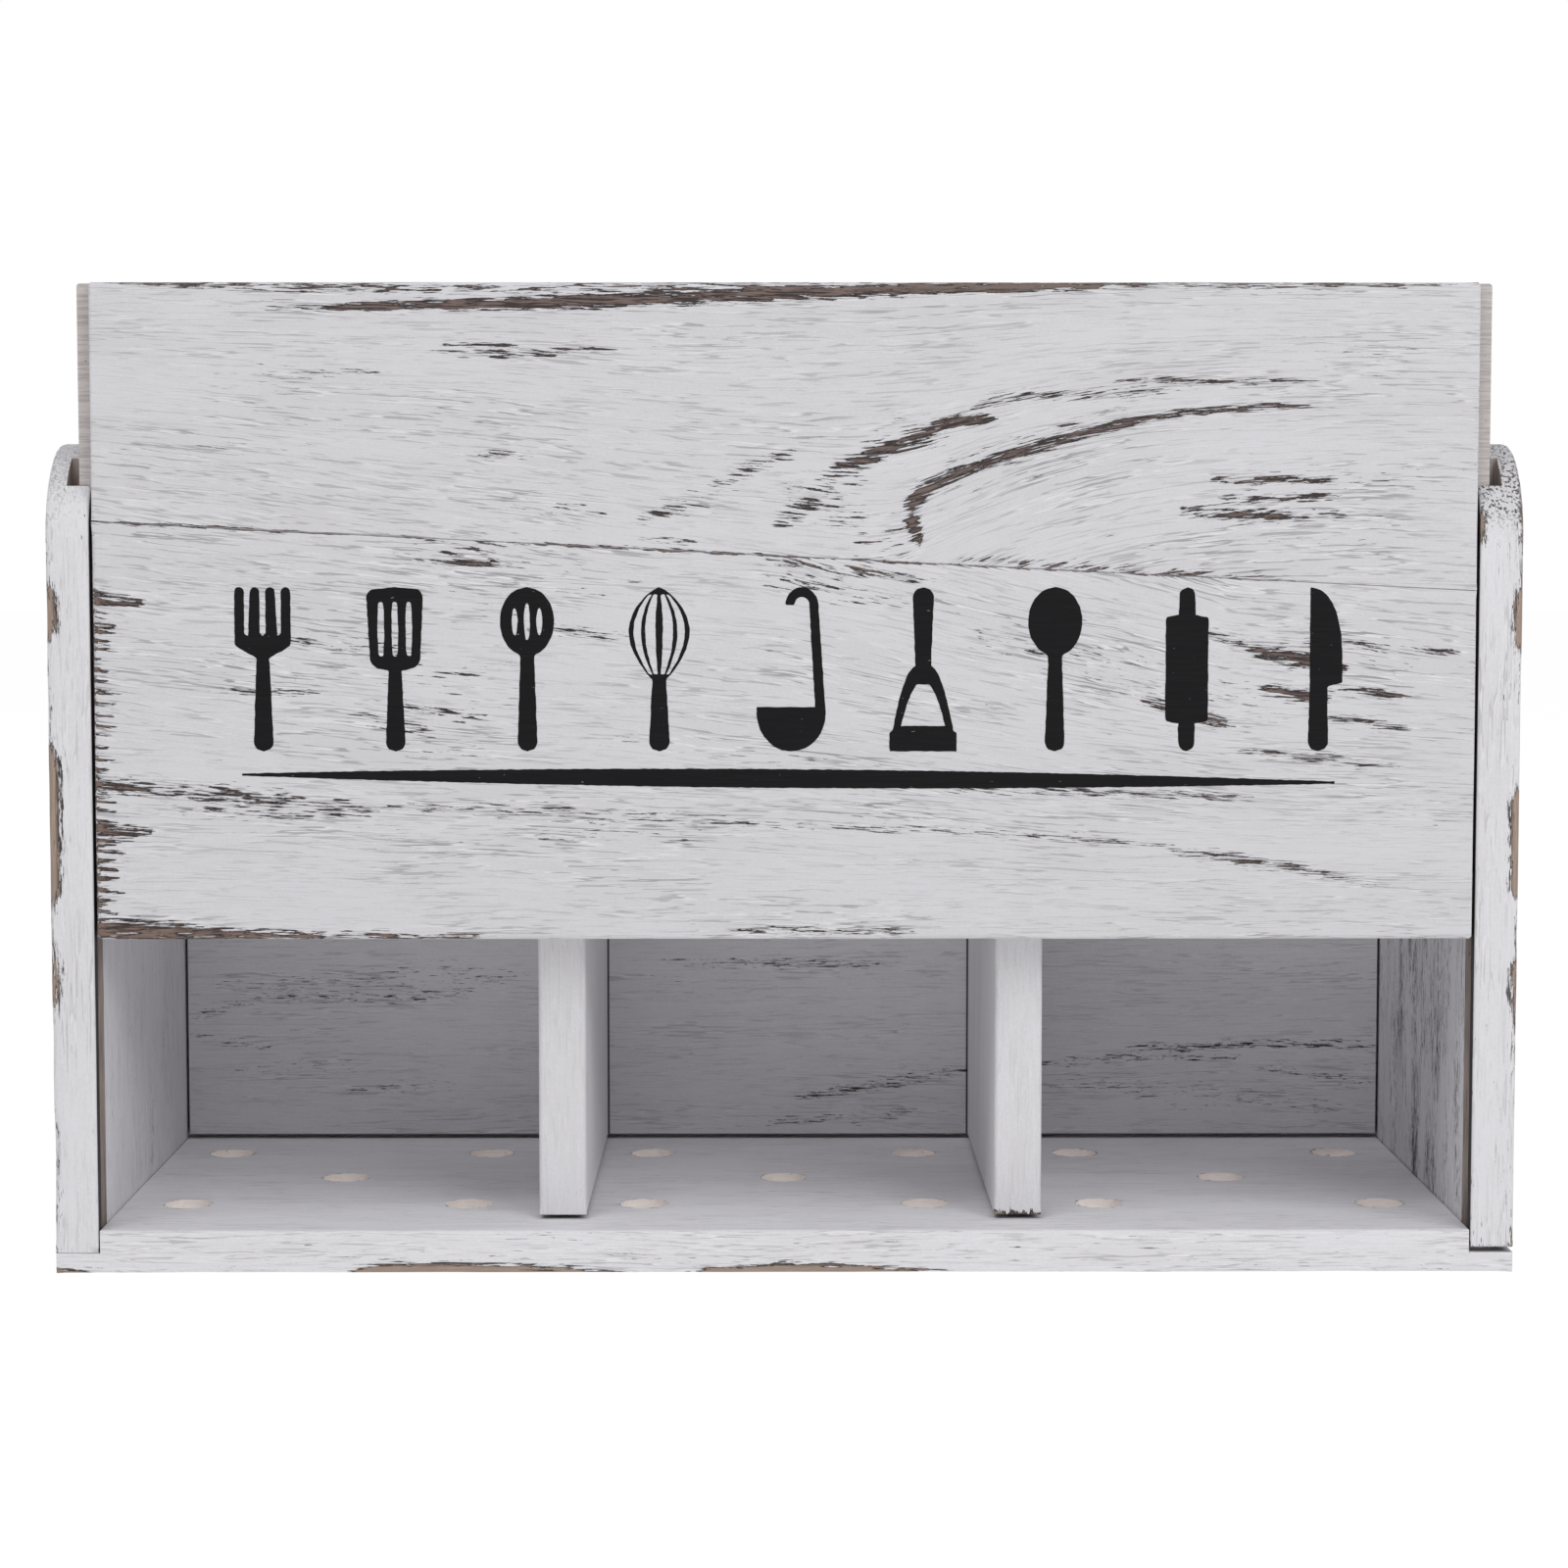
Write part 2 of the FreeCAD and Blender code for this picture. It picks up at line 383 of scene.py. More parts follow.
def face_grid(ring, across, up):
    """Grid of points inside a four-sided ring, blended from its sides."""
    bottom = ring[:across + 1]
    right = ring[across:across + up + 1]
    top = ring[across + up:2 * across + up + 1][::-1]
    left = np.concatenate((ring[2 * across + up:], ring[:1]))[::-1]

    def run_shares(*lines):
        runs = [np.cumsum(np.linalg.norm(np.diff(line, axis=0, prepend=line[:1]), axis=1)) for line in lines]
        return sum(run / run[-1] for run in runs) / 2

    s = run_shares(bottom, top)[:, None, None]
    t = run_shares(left, right)[None, :, None]
    sides = (1 - t) * bottom[:, None] + t * top[:, None] + (1 - s) * left[None] + s * right[None]
    ends = (1 - s) * (1 - t) * bottom[0] + s * (1 - t) * bottom[-1] + (1 - s) * t * top[0] + s * t * top[-1]
    return (sides - ends).reshape(-1, 3)


# Meshes and pieces

WELD = 0.002 * MM
SHARP = math.radians(38)
CARCASS = ("carcass", "carcass_wood")
PANEL = ("front_panel", "panel_wood")


def clean(mesh, join=False):
    """Turns the faces outwards, first joining vertices in the same place if asked to."""
    work = bmesh.new()
    work.from_mesh(mesh)
    if join:
        bmesh.ops.remove_doubles(work, verts=work.verts, dist=WELD)
        bmesh.ops.dissolve_degenerate(work, edges=work.edges, dist=WELD)
    bmesh.ops.recalc_face_normals(work, faces=work.faces)
    work.to_mesh(mesh)
    work.free()


def mesh_of(name, places, faces):
    """A new mesh with its faces turned outwards."""
    mesh = bpy.data.meshes.new(name)
    mesh.from_pydata(np.asarray(places).tolist(), [], faces)
    clean(mesh)
    return mesh


def add_object(name, mesh, materials):
    """A new object of the mesh in the scene, with its materials."""
    piece = bpy.data.objects.new(name, mesh)
    bpy.context.scene.collection.objects.link(piece)
    for coat in materials:
        mesh.materials.append(coat)
    return piece


def carve(piece, cutter):
    """Cuts one object out of another; the cut faces keep the cutter's material."""
    cut = piece.modifiers.new("carve", "BOOLEAN")
    cut.operation = "DIFFERENCE"
    cut.solver = "EXACT"
    cut.material_mode = "TRANSFER"
    cut.object = cutter
    graph = bpy.context.evaluated_depsgraph_get()
    carved = bpy.data.meshes.new_from_object(piece.evaluated_get(graph))
    piece.modifiers.clear()
    old = piece.data
    piece.data = carved
    bpy.data.meshes.remove(old)
    bpy.data.objects.remove(cutter)
    if len(carved.polygons) == 0:
        raise RuntimeError("nothing left of " + piece.name)


def settle(piece, node, body, slot):
    """Puts a dressed piece in a CAD node's stead."""
    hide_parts(node)
    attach(piece, body)


def dress(
    name, node, board, spacing, materials, grain, rub, place=CARCASS, shape=None, fade=None, joint=None
):
    """Makes a board's piece, shapes it further if asked to and gives it the attributes of its wood.

    Wear along the arrises may fade from place to place, and the gaps at joints get painted shade.
    """
    piece = add_object(name, board.mesh(name, spacing), materials)
    if shape is not None:
        shape(piece)
    mesh = piece.data
    mesh.shade_smooth()
    mesh.set_sharp_from_angle(angle=SHARP)
    flat = np.empty(len(mesh.vertices) * 3)
    mesh.vertices.foreach_get("co", flat)
    places = flat.reshape(-1, 3)
    local = board.to_board(places)
    arris = board.arris_distance(local)
    wear = board.arris_wear(local, arris)
    if fade is not None:
        wear *= fade(places)
    # Painted shade in the gaps where this board meets others
    gap_shade = np.zeros(len(places)) if joint is None else joint(places)
    mesh.attributes.new("grain", "FLOAT_VECTOR", "POINT").data.foreach_set("vector", grain(places).ravel())
    for label, level in (("rub", np.maximum(rub(places), wear)), ("arris", arris), ("joint", gap_shade)):
        mesh.attributes.new(label, "FLOAT", "POINT").data.foreach_set("value", level)
    settle(piece, node, *place)


# Shader node helpers

def put(tree, kind, inputs=None, **settings):
    """A new node with its settings; an input takes a value or a link from another socket."""
    node = tree.nodes.new(kind)
    for name, value in settings.items():
        setattr(node, name, value)
    for key, value in (inputs or {}).items():
        if isinstance(value, bpy.types.NodeSocket):
            tree.links.new(value, node.inputs[key])
        else:
            node.inputs[key].default_value = value
    return node


def calc(tree, operation, *numbers):
    """Result of a math node."""
    return put(tree, "ShaderNodeMath", dict(enumerate(numbers)), operation=operation).outputs[0]


def times(tree, first, second):
    """Product of two values."""
    return calc(tree, "MULTIPLY", first, second)


def ramp(tree, value, low, high, start=0.0, end=1.0):
    """Smooth step of a value between two limits."""
    inputs = {"Value": value, "From Min": low, "From Max": high, "To Min": start, "To Max": end}
    return put(tree, "ShaderNodeMapRange", inputs, interpolation_type="SMOOTHSTEP").outputs["Result"]


def blend(tree, share, first, second):
    """Mix of two colours."""
    return put(tree, "ShaderNodeMix", {0: share, 6: first, 7: second}, data_type="RGBA").outputs[2]


def vector_calc(tree, operation, first, second):
    """Result of a vector math node."""
    return put(tree, "ShaderNodeVectorMath", {0: first, 1: second}, operation=operation).outputs[0]


def rgba(value, tone=1.0):
    """A colour property with full alpha, lighter or darker by a tone."""
    return (*(tone * part for part in value), 1.0)


def node_group(name, inputs, outputs):
    """Turns a function that fills a node tree into one that gives the named group, built once."""
    def wrap(build):
        def get():
            if name not in bpy.data.node_groups:
                tree = bpy.data.node_groups.new(name, "ShaderNodeTree")
                for in_out, sockets in (("INPUT", inputs), ("OUTPUT", outputs)):
                    for label, kind in sockets.items():
                        tree.interface.new_socket(label, in_out=in_out, socket_type="NodeSocket" + kind)
                given = tree.nodes.new("NodeGroupInput").outputs
                build(tree, given, tree.nodes.new("NodeGroupOutput").inputs)
            return bpy.data.node_groups[name]
        return get
    return wrap


def place_group(tree, group, inputs):
    """The outputs of a group as a node in a material or another group."""
    return put(tree, "ShaderNodeGroup", inputs, node_tree=group).outputs


# Shared effects; a noise is given as millimetres along and across the grain, detail and offset

FIBRE_ROUGHNESS = 0.62
CLOUD = (40.0, 12.0, 2.0, 3.1)
HAIR = (6.0, 0.40, 4.0, 7.7)
STIPPLE = (0.70, 0.42, 2.0, 1.9)
BREAKS = (13.0, 0.50, 3.0, 4.4)
RING_STRETCH = 17.0
RINGS = (2.0, 9.4)
DASH_SLIM = 0.106
DASHES = (5.0, 0.0)
# Fibre lines between the dashes, painted shade and painted highlight along the grain's ridges:
# limits of their width, edge, patches and growth with rubbing
LINE_WIDTH = (0.38, 0.62, -0.020, 0.028)
LINE_EDGE = 0.026
LINE_PATCHES = (0.34, 0.60, 0.30, 1.0)
LINE_RUB = (0.1, 0.6, 0.6, 1.0)
RIDGE_SHADE_LINE = 0.50
RIDGE_HIGHLIGHT_LINE = 0.555
# Dashes: factor and start of their level as rubbing grows, and the limits of their edges
RAGGED = (0.48, -0.24)
BOLD_LEVEL = (-0.42, 0.92)
FINE_LEVEL = (-0.27, 0.81)
BOLD_EDGE = (0.0, 0.03)
FINE_EDGE = (0.0, 0.04, 0.0, 0.85)
CORE_EDGE = (0.06, 0.12)
CORE_STREAKS = (0.57, 0.45, 0.10, 1.0)
CORE_ARRIS = (2.4, 1.0, 0.0, 0.85)
BARE_FULL = 0.4
THIN_PAINT = (1.25, 1.75)
PAINT_ROUGHNESS = (0.15, 0.66)
STIPPLE_RELIEF = 0.3
HAIR_RELIEF = 0.6
PORE_DETAIL = 2.0
PORE_EDGE = (0.52, 0.61)


@node_group(
    "Fibre noise",
    {"Grain": "Vector", **dict.fromkeys(("Along", "Across", "Detail", "Offset"), "Float")},
    {"Value": "Float"},
)
def fibre_group(tree, given, out):
    """Noise drawn out along the grain: lengths along and across it are in millimetres."""
    size, shift = [
        put(tree, "ShaderNodeCombineXYZ", {k: given[label] for k, label in enumerate(labels)}).outputs[0]
        for labels in (("Along", "Across", "Across"), ("Offset", "Offset", "Offset"))
    ]
    place = vector_calc(tree, "ADD", vector_calc(tree, "DIVIDE", given["Grain"], size), shift)
    inputs = {"Vector": place, "Scale": 1.0, "Detail": given["Detail"], "Roughness": FIBRE_ROUGHNESS}
    tree.links.new(put(tree, "ShaderNodeTexNoise", inputs).outputs[0], out["Value"])


def fibre(tree, grain, along, across, detail, offset):
    """One fibre noise inside another group or material."""
    inputs = {"Grain": grain, "Along": along, "Across": across, "Detail": detail, "Offset": offset}
    return place_group(tree, fibre_group(), inputs)["Value"]


def contour(tree, value, level, width):
    """Thin lines where a noise passes a level."""
    offset = calc(tree, "ABSOLUTE", calc(tree, "SUBTRACT", value, level))
    return ramp(tree, offset, width, calc(tree, "ADD", width, LINE_EDGE), 1.0, 0.0)


@node_group(
    "Whitewash",
    {
        "Grain": "Vector",
        **dict.fromkeys(("Arris", "Rub", "Reach", "Dash", "Fibre", "Spacing"), "Float"),
        **dict.fromkeys(("Paint", "Warm", "Light", "Shade", "Stain", "Worn", "Bare"), "Color"),
    },
    {"Colour": "Color", "Roughness": "Float", "Height": "Float"},
)
def whitewash_group(tree, given, out):
    """Thin white paint over stained wood: grain ridges in painted highlight and shade, dashes where it is
    rubbed through.
    """
    grain, rub, arris, spacing = given["Grain"], given["Rub"], given["Arris"], given["Spacing"]
    cloud, hair, stipple, breaks = [fibre(tree, grain, *kind) for kind in (CLOUD, HAIR, STIPPLE, BREAKS)]
    rings = fibre(tree, grain, times(tree, spacing, RING_STRETCH), spacing, *RINGS)
    width = ramp(tree, breaks, *LINE_WIDTH)
    patch = times(tree, ramp(tree, cloud, *LINE_PATCHES), given["Fibre"])
    patch = times(tree, patch, ramp(tree, rub, *LINE_RUB))
    # Dark lines are painted shade and light lines a painted highlight, on the two sides of the grain's ridges
    levels = (RIDGE_SHADE_LINE, RIDGE_HIGHLIGHT_LINE)
    dark, light = [times(tree, contour(tree, rings, level, width), patch) for level in levels]

    dash = given["Dash"]
    bold = fibre(tree, grain, dash, times(tree, dash, DASH_SLIM), *DASHES)
    bold = calc(tree, "SUBTRACT", bold, calc(tree, "MULTIPLY_ADD", rub, *BOLD_LEVEL))
    bold = calc(tree, "ADD", bold, calc(tree, "MULTIPLY_ADD", hair, *RAGGED))
    fine = calc(tree, "SUBTRACT", hair, calc(tree, "MULTIPLY_ADD", rub, *FINE_LEVEL))
    rubbed = calc(tree, "MAXIMUM", ramp(tree, bold, *BOLD_EDGE), ramp(tree, fine, *FINE_EDGE))
    near = ramp(tree, arris, given["Reach"], times(tree, given["Reach"], BARE_FULL))
    streak = calc(tree, "MAXIMUM", ramp(tree, hair, *CORE_STREAKS), ramp(tree, arris, *CORE_ARRIS))
    core = times(tree, ramp(tree, bold, *CORE_EDGE), streak)

    thin = calc(tree, "ADD", calc(tree, "ADD", cloud, hair), stipple)
    tint = blend(tree, ramp(tree, thin, *THIN_PAINT), given["Paint"], given["Warm"])
    # Painted highlight and painted shade of the grain's ridges, then stain where the paint is rubbed through
    for share, layer in ((light, "Light"), (dark, "Shade"), (rubbed, "Stain")):
        tint = blend(tree, share, tint, given[layer])
    tint = blend(tree, core, tint, blend(tree, near, given["Worn"], given["Bare"]))
    tree.links.new(tint, out["Colour"])
    tree.links.new(calc(tree, "MULTIPLY_ADD", rubbed, *PAINT_ROUGHNESS), out["Roughness"])
    relief = calc(tree, "MULTIPLY_ADD", stipple, STIPPLE_RELIEF, times(tree, hair, HAIR_RELIEF))
    tree.links.new(calc(tree, "SUBTRACT", 1.0, calc(tree, "ADD", relief, rubbed)), out["Height"])


@node_group("End grain", {"Place": "Vector", "Pore": "Float"}, {"Pores": "Float"})
def end_grain_group(tree, given, out):
    """Dark pores of cut wood ends under thin paint."""
    scale = calc(tree, "DIVIDE", 1.0, given["Pore"])
    size = put(tree, "ShaderNodeVectorMath", {0: given["Place"], "Scale": scale}, operation="SCALE")
    cells = put(tree, "ShaderNodeTexNoise", {"Vector": size.outputs[0], "Scale": 1.0, "Detail": PORE_DETAIL})
    tree.links.new(ramp(tree, cells.outputs[0], *PORE_EDGE), out["Pores"])


# Materials

PORE = 0.6
PORE_SLOPE = 0.3
PORE_SHADE = 0.2
# Width and fade of the lines of painted shade where boards meet
JOINT_SHADE_LINE = (0.32, 0.18, 0.0, 0.92)
LINE_FADE = 1.0
PAINT_SPECULAR = 0.3
INK_SPECULAR = 0.12
PAINT_RELIEF = (0.35, 0.25)
RAW_RELIEF = (0.4, 0.2)
INK_RELIEF = (0.3, 0.1)
# Raw wood: noises, limits and strengths of its fibres and specks, and tone of the fibres
RAW_FIBRES = (9.0, 0.5, 3.0, 1.3)
RAW_FIBRE_EDGE = (0.42, 0.66)
RAW_SPECKS = (2.2, 0.7, 3.0, 5.9)
RAW_SPECK_EDGE = (0.69, 0.73)
RAW_SPECK_SHARE = 0.8
RAW_DULL = 0.62
RAW_ROUGHNESS = (0.15, 0.75)
# Black paint: noises and limits of its dry fibres and lost flakes
INK_FIBRES = (9.0, 0.5, 3.0, 2.3)
INK_FIBRE_EDGE = (0.45, 0.68)
INK_FIBRE_SHARE = 0.5
INK_FLAKES = (1.6, 0.6, 3.0, 8.3)
INK_FLAKE_EDGE = (0.71, 0.74)
INK_ROUGHNESS = (0.2, 0.5)
# Brads: noise and limits of the scraps of paint on them
SCRAPS = (0.9, 0.9, 3.0, 4.4)
SCRAP_EDGE = (0.42, 0.52)
SCRAP_ROUGHNESS = (0.3, 0.35)


def material(build):
    """Turns a function that fills a shader tree into one that gives the named material, built once."""
    def get(name, *given, **settings):
        if name not in bpy.data.materials:
            made = bpy.data.materials.new(name)
            made.use_nodes = True
            tree = made.node_tree
            tree.nodes.clear()
            shader = tree.nodes.new("ShaderNodeBsdfPrincipled")
            surface = tree.nodes.new("ShaderNodeOutputMaterial")
            tree.links.new(shader.outputs[0], surface.inputs["Surface"])
            build(tree, shader, *given, **settings)
        return bpy.data.materials[name]
    return get


def attribute(tree, name, output):
    """A vertex attribute as a socket."""
    return put(tree, "ShaderNodeAttribute", attribute_name=name).outputs[output]


def object_grain(tree, order=(X, Y, Z)):
    """Millimetres of the object, its axes in the order along, across and into the grain."""
    place = put(tree, "ShaderNodeTexCoord").outputs["Object"]
    scaled = put(tree, "ShaderNodeVectorMath", {0: place, "Scale": 1 / MM}, operation="SCALE").outputs[0]
    parts = put(tree, "ShaderNodeSeparateXYZ", {0: scaled}).outputs
    return put(tree, "ShaderNodeCombineXYZ", {k: parts[axis] for k, axis in enumerate(order)}).outputs[0]


def noise_mask(tree, grain, kind, edge):
    """Soft-edged patches of a fibre noise."""
    return ramp(tree, fibre(tree, grain, *kind), *edge)


def finish(tree, shader, tint, roughness, height, relief):
    """Gives a shader its colour, roughness and relief; relief is a strength and a depth in millimetres."""
    tree.links.new(tint, shader.inputs["Base Color"])
    tree.links.new(roughness, shader.inputs["Roughness"])
    strength, depth = relief
    bump = put(tree, "ShaderNodeBump", {"Height": height, "Strength": strength, "Distance": depth * MM})
    tree.links.new(bump.outputs[0], shader.inputs["Normal"])


@material
def whitewash(
    tree, shader, colours, fibres, spacing, bare="bare", reach=2.6, dash=8.5, tone=1.0, ends=None, lines=()
):
    """Whitewashed wood of one board: strength and spacing of its fibre lines, and the colour of bare wood.

    Upright wood shows pores on its ends, from a slope and this strong. Lines are painted shade in the gaps
    where other boards meet this one, each at a place along the grain and below a limit across and into it.
    """
    grain = attribute(tree, "grain", "Vector")
    layers = {label.title(): rgba(getattr(colours, label), tone) for label in ("paint", "warm", "light")}
    layers.update((label.title(), rgba(getattr(colours, label))) for label in ("shade", "stain", "worn"))
    coat = place_group(tree, whitewash_group(), {
        "Grain": grain, "Arris": attribute(tree, "arris", "Fac"), "Rub": attribute(tree, "rub", "Fac"),
        "Reach": reach, "Dash": dash, "Fibre": fibres, "Spacing": spacing,
        "Bare": rgba(getattr(colours, bare)), **layers,
    })
    # Painted shade in the gaps where boards meet, in the colour of the stain
    tint = blend(tree, attribute(tree, "joint", "Fac"), coat["Colour"], layers["Stain"])
    parts = put(tree, "ShaderNodeSeparateXYZ", {0: grain}).outputs
    # Dark lines of painted shade where other boards meet this one
    for along, *limits in lines:
        gap = calc(tree, "ABSOLUTE", calc(tree, "SUBTRACT", parts[0], along))
        share = ramp(tree, gap, *JOINT_SHADE_LINE)
        for part, limit in zip(parts[1:], limits):
            share = times(tree, share, ramp(tree, part, limit, limit - LINE_FADE))
        tint = blend(tree, share, tint, layers["Stain"])
    height = coat["Height"]
    if ends is not None:
        slope, strength = ends
        normal = put(tree, "ShaderNodeSeparateXYZ", {0: put(tree, "ShaderNodeTexCoord").outputs["Normal"]})
        facing = ramp(tree, calc(tree, "ABSOLUTE", normal.outputs[Z]), slope, slope + PORE_SLOPE)
        facing = times(tree, facing, strength)
        pores = place_group(tree, end_grain_group(), {"Place": grain, "Pore": PORE})["Pores"]
        dark = times(tree, pores, facing)
        tint = blend(tree, times(tree, facing, PORE_SHADE), tint, layers["Shade"])
        tint = blend(tree, dark, tint, layers["Stain"])
        height = calc(tree, "SUBTRACT", height, dark)
    shader.inputs["Specular IOR Level"].default_value = PAINT_SPECULAR
    finish(tree, shader, tint, coat["Roughness"], height, PAINT_RELIEF)


@material
def raw_wood(tree, shader, colours, tone, streak, order=(X, Y, Z)):
    """Unpainted cut wood with fibres, a few dark specks and saw marks."""
    grain = object_grain(tree, order)
    fibres = noise_mask(tree, grain, RAW_FIBRES, RAW_FIBRE_EDGE)
    specks = noise_mask(tree, grain, RAW_SPECKS, RAW_SPECK_EDGE)
    tint = blend(tree, times(tree, fibres, streak), rgba(tone), rgba(tone, RAW_DULL))
    tint = blend(tree, times(tree, specks, RAW_SPECK_SHARE), tint, rgba(colours.stain))
    finish(tree, shader, tint, calc(tree, "MULTIPLY_ADD", fibres, *RAW_ROUGHNESS), fibres, RAW_RELIEF)


@material
def black_paint(tree, shader, colours):
    """Matt black paint that has sunk into the grain and lost a few flakes."""
    grain = object_grain(tree, (X, Z, Y))
    fibres = noise_mask(tree, grain, INK_FIBRES, INK_FIBRE_EDGE)
    flakes = noise_mask(tree, grain, INK_FLAKES, INK_FLAKE_EDGE)
    tint = blend(tree, times(tree, fibres, INK_FIBRE_SHARE), rgba(colours.ink), rgba(colours.dry_ink))
    tint = blend(tree, flakes, tint, rgba(colours.shade))
    shader.inputs["Specular IOR Level"].default_value = INK_SPECULAR
    finish(tree, shader, tint, calc(tree, "MULTIPLY_ADD", fibres, *INK_ROUGHNESS), fibres, INK_RELIEF)


@material
def brad_steel(tree, shader, colours):
    """Wire of the brads: bright steel with scraps of the white paint on it."""
    scraps = noise_mask(tree, object_grain(tree), SCRAPS, SCRAP_EDGE)
    tint = blend(tree, scraps, rgba(colours.steel), rgba(colours.paint))
    tree.links.new(calc(tree, "SUBTRACT", 1.0, scraps), shader.inputs["Metallic"])
    finish(tree, shader, tint, calc(tree, "MULTIPLY_ADD", scraps, *SCRAP_ROUGHNESS), scraps, INK_RELIEF)


# Figure of the boards, in millimetres of the frame

def smooth(low, high, value):
    """Smooth step of an array."""
    t = np.clip((value - low) / (high - low), 0.0, 1.0)
    return t * t * (3 - 2 * t)


def ripple(x, z, height, pitch_x, pitch_z, seed):
    """Slow noise over the face of a board."""
    return height * np.array([noise.noise(Vector((a / pitch_x, b / pitch_z, seed))) for a, b in zip(x, z)])


ARCH_X, ARCH_Z = 24.0, 151.0
ARCH_RISE, ARCH_SPAN = 26.0, 40.0
ARCH_BEND = (0.001, 1.8)
TURN_LEAST, TURN_GROWTH, TURN_FROM = 4.0, 0.25, 160.0
PANEL_TOP = 203.0
UPPER_FALL = 0.115
UPPER_RIPPLE = (0.8, 38.0, 11.0, 2.2)
LOWER_LEFT = -141.0
LOWER_FALL = 0.09
LOWER_DIP = (0.12, 0.0, 90.0)
LOWER_LEVEL = (66.0, 120.0)
LOWER_RIPPLE = (1.0, 30.0, 9.0, 7.4)
UPRIGHT_RIPPLE = (1.4, 9.0, 46.0, 4.1)
UPRIGHT_LEAN = 0.2
LEVEL_RIPPLE = (1.6, 52.0, 10.0, 6.6)
FLOOR_RIPPLE = (1.6, 52.0, 10.0, 8.8)


def upper_grain(places):
    """Grain of the upper board: it falls to the right, then climbs beside the arch, level at the top."""
    x, y, z = places.T / MM
    turn = TURN_LEAST + TURN_GROWTH * np.clip(z - TURN_FROM, 0.0, None)
    past = turn * np.logaddexp(0.0, (x - ARCH_X) / turn)
    bend, power = ARCH_BEND
    rise = ARCH_RISE * (1 - np.exp(-past / ARCH_SPAN)) + UPPER_FALL * (ARCH_X - x + past)
    line = ARCH_Z + rise - bend * past ** power
    above = (z - line) * (PANEL_TOP - ARCH_Z) / (PANEL_TOP - line)
    across = ARCH_Z + np.where(z > line, above, z - line) + ripple(x, z, *UPPER_RIPPLE)
    return np.column_stack((x, across, y))


def lower_grain(places):
    """Grain of the lower board: falling to the right, level at the foot."""
    x, y, z = places.T / MM
    fall, start, end = LOWER_DIP
    dip = -LOWER_FALL * (x - LOWER_LEFT) - fall * np.clip(x, start, end)
    return np.column_stack((x, z - dip * smooth(*LOWER_LEVEL, z) + ripple(x, z, *LOWER_RIPPLE), y))


def upright_grain(places):
    """Grain of the boards whose wood runs upwards."""
    x, y, z = places.T / MM
    return np.column_stack((z, y + ripple(y, z, *UPRIGHT_RIPPLE) + UPRIGHT_LEAN * x, x))


def level_grain(places):
    """Grain of the boards whose wood runs from side to side."""
    x, y, z = places.T / MM
    return np.column_stack((x, z + ripple(x, z, *LEVEL_RIPPLE), y))


def floor_grain(places):
    """Grain of the base board, which runs from side to side."""
    x, y, z = places.T / MM
    return np.column_stack((x, y + z + ripple(x, y, *FLOOR_RIPPLE), z))


# Rubbed strokes, pointed at both ends: half width, strength, then x and z of the points along the stroke
SEAM_STROKES = (
    (0.4, 1.22, -150, 154.8, -90, 151.7),
    (0.35, 0.98, -104, 152.4, -36, 149),
    (0.4, 1.16, -52, 149.9, 8, 146.8),
    (0.35, 1.06, -6, 147.5, 46, 144.9),
    (0.35, 1, 34, 145.5, 104, 142.1),
)
UPPER_STROKES = SEAM_STROKES + (
    (0.9, 1.12, -134, 202.2, -108, 201.5, -58, 201.2),
    (0.8, 1.08, -106, 197, -70, 197.9),
    (1.3, 1.5, -92, 197.3, -40, 198.5, 0, 200.1, 30, 201.1, 64, 201.6),
    (1.1, 0.98, -98, 200.6, -60, 201.2, -16, 201.8),
    (1.3, 1.2, -44, 199.4, 0, 200.9, 38, 201.5),
    (0.9, 1.06, 34, 202, 74, 201.9, 134, 201.8),
    (0.55, 1.16, -70, 189.9, -54, 189.7),
    (0.58, 1.16, -72, 188.5, -56, 188.2, -46, 188.6, -32, 189.2),
    (0.35, 1.14, -66, 187.2, -46, 187.4),
    (0.9, 0.92, -96, 184.4, -82, 184.4),
    (1.2, 0.92, -64, 168.2, -50, 167.4),
    (2.6, 0.86, -30, 154.2, -18, 158.5, -8, 164.6, 3, 169),
    (3.4, 0.97, -2, 153, 11, 163, 18, 168.2, 24, 170.8, 39, 175.2),
    (1.7, 1.26, 10, 165, 31, 172.6),
    (1.5, 1.42, 30, 174, 42, 175),
    (1.3, 1.02, 36, 176.4, 48, 180, 64, 179.4),
    (1.2, 1, 60, 180.2, 80, 180.6),
    (0.8, 1, 66, 182.7, 83, 183),
    (0.9, 1, 76, 182.2, 108, 182.6),
    (5, 0.8, 0, 162, 12, 156, 26, 147),
    (1.7, 1.34, 27.2, 149.5, 25.6, 154.5, 26, 158, 29.5, 161.6, 39.8, 165.6),
    (1.3, 1.3, 28, 160.4, 39.8, 165.6, 50.5, 169.2, 61, 172.4, 76, 175.6),
    (1, 1.2, 50, 169, 71.7, 174.7, 82.3, 176.3, 98, 177.5, 107, 177.3),
    (0.9, 0.88, 32, 166, 50, 171.8, 70, 177.4),
    (1.3, 1.1, 86, 162.6, 112, 162.8),
    (1.1, 1.06, 88, 159, 112, 159.2),
    (1.9, 1.1, 80, 156.4, 106, 155),
    (1.8, 0.8, 106, 156.4, 128, 153.2),
    (1.1, 0.93, 34, 146.8, 66, 144.8, 100, 143),
    (1, 1.02, -30, 150.6, -18, 150.1),
    (4, 0.58, 26, 156, 44, 163, 74, 168),
    (4, 0.56, 60, 150, 96, 150.6, 130, 148.6),
    (5, 0.48, -120, 176, -80, 173, -40, 169),
    (3, 0.7, -60, 158, -36, 156),
)
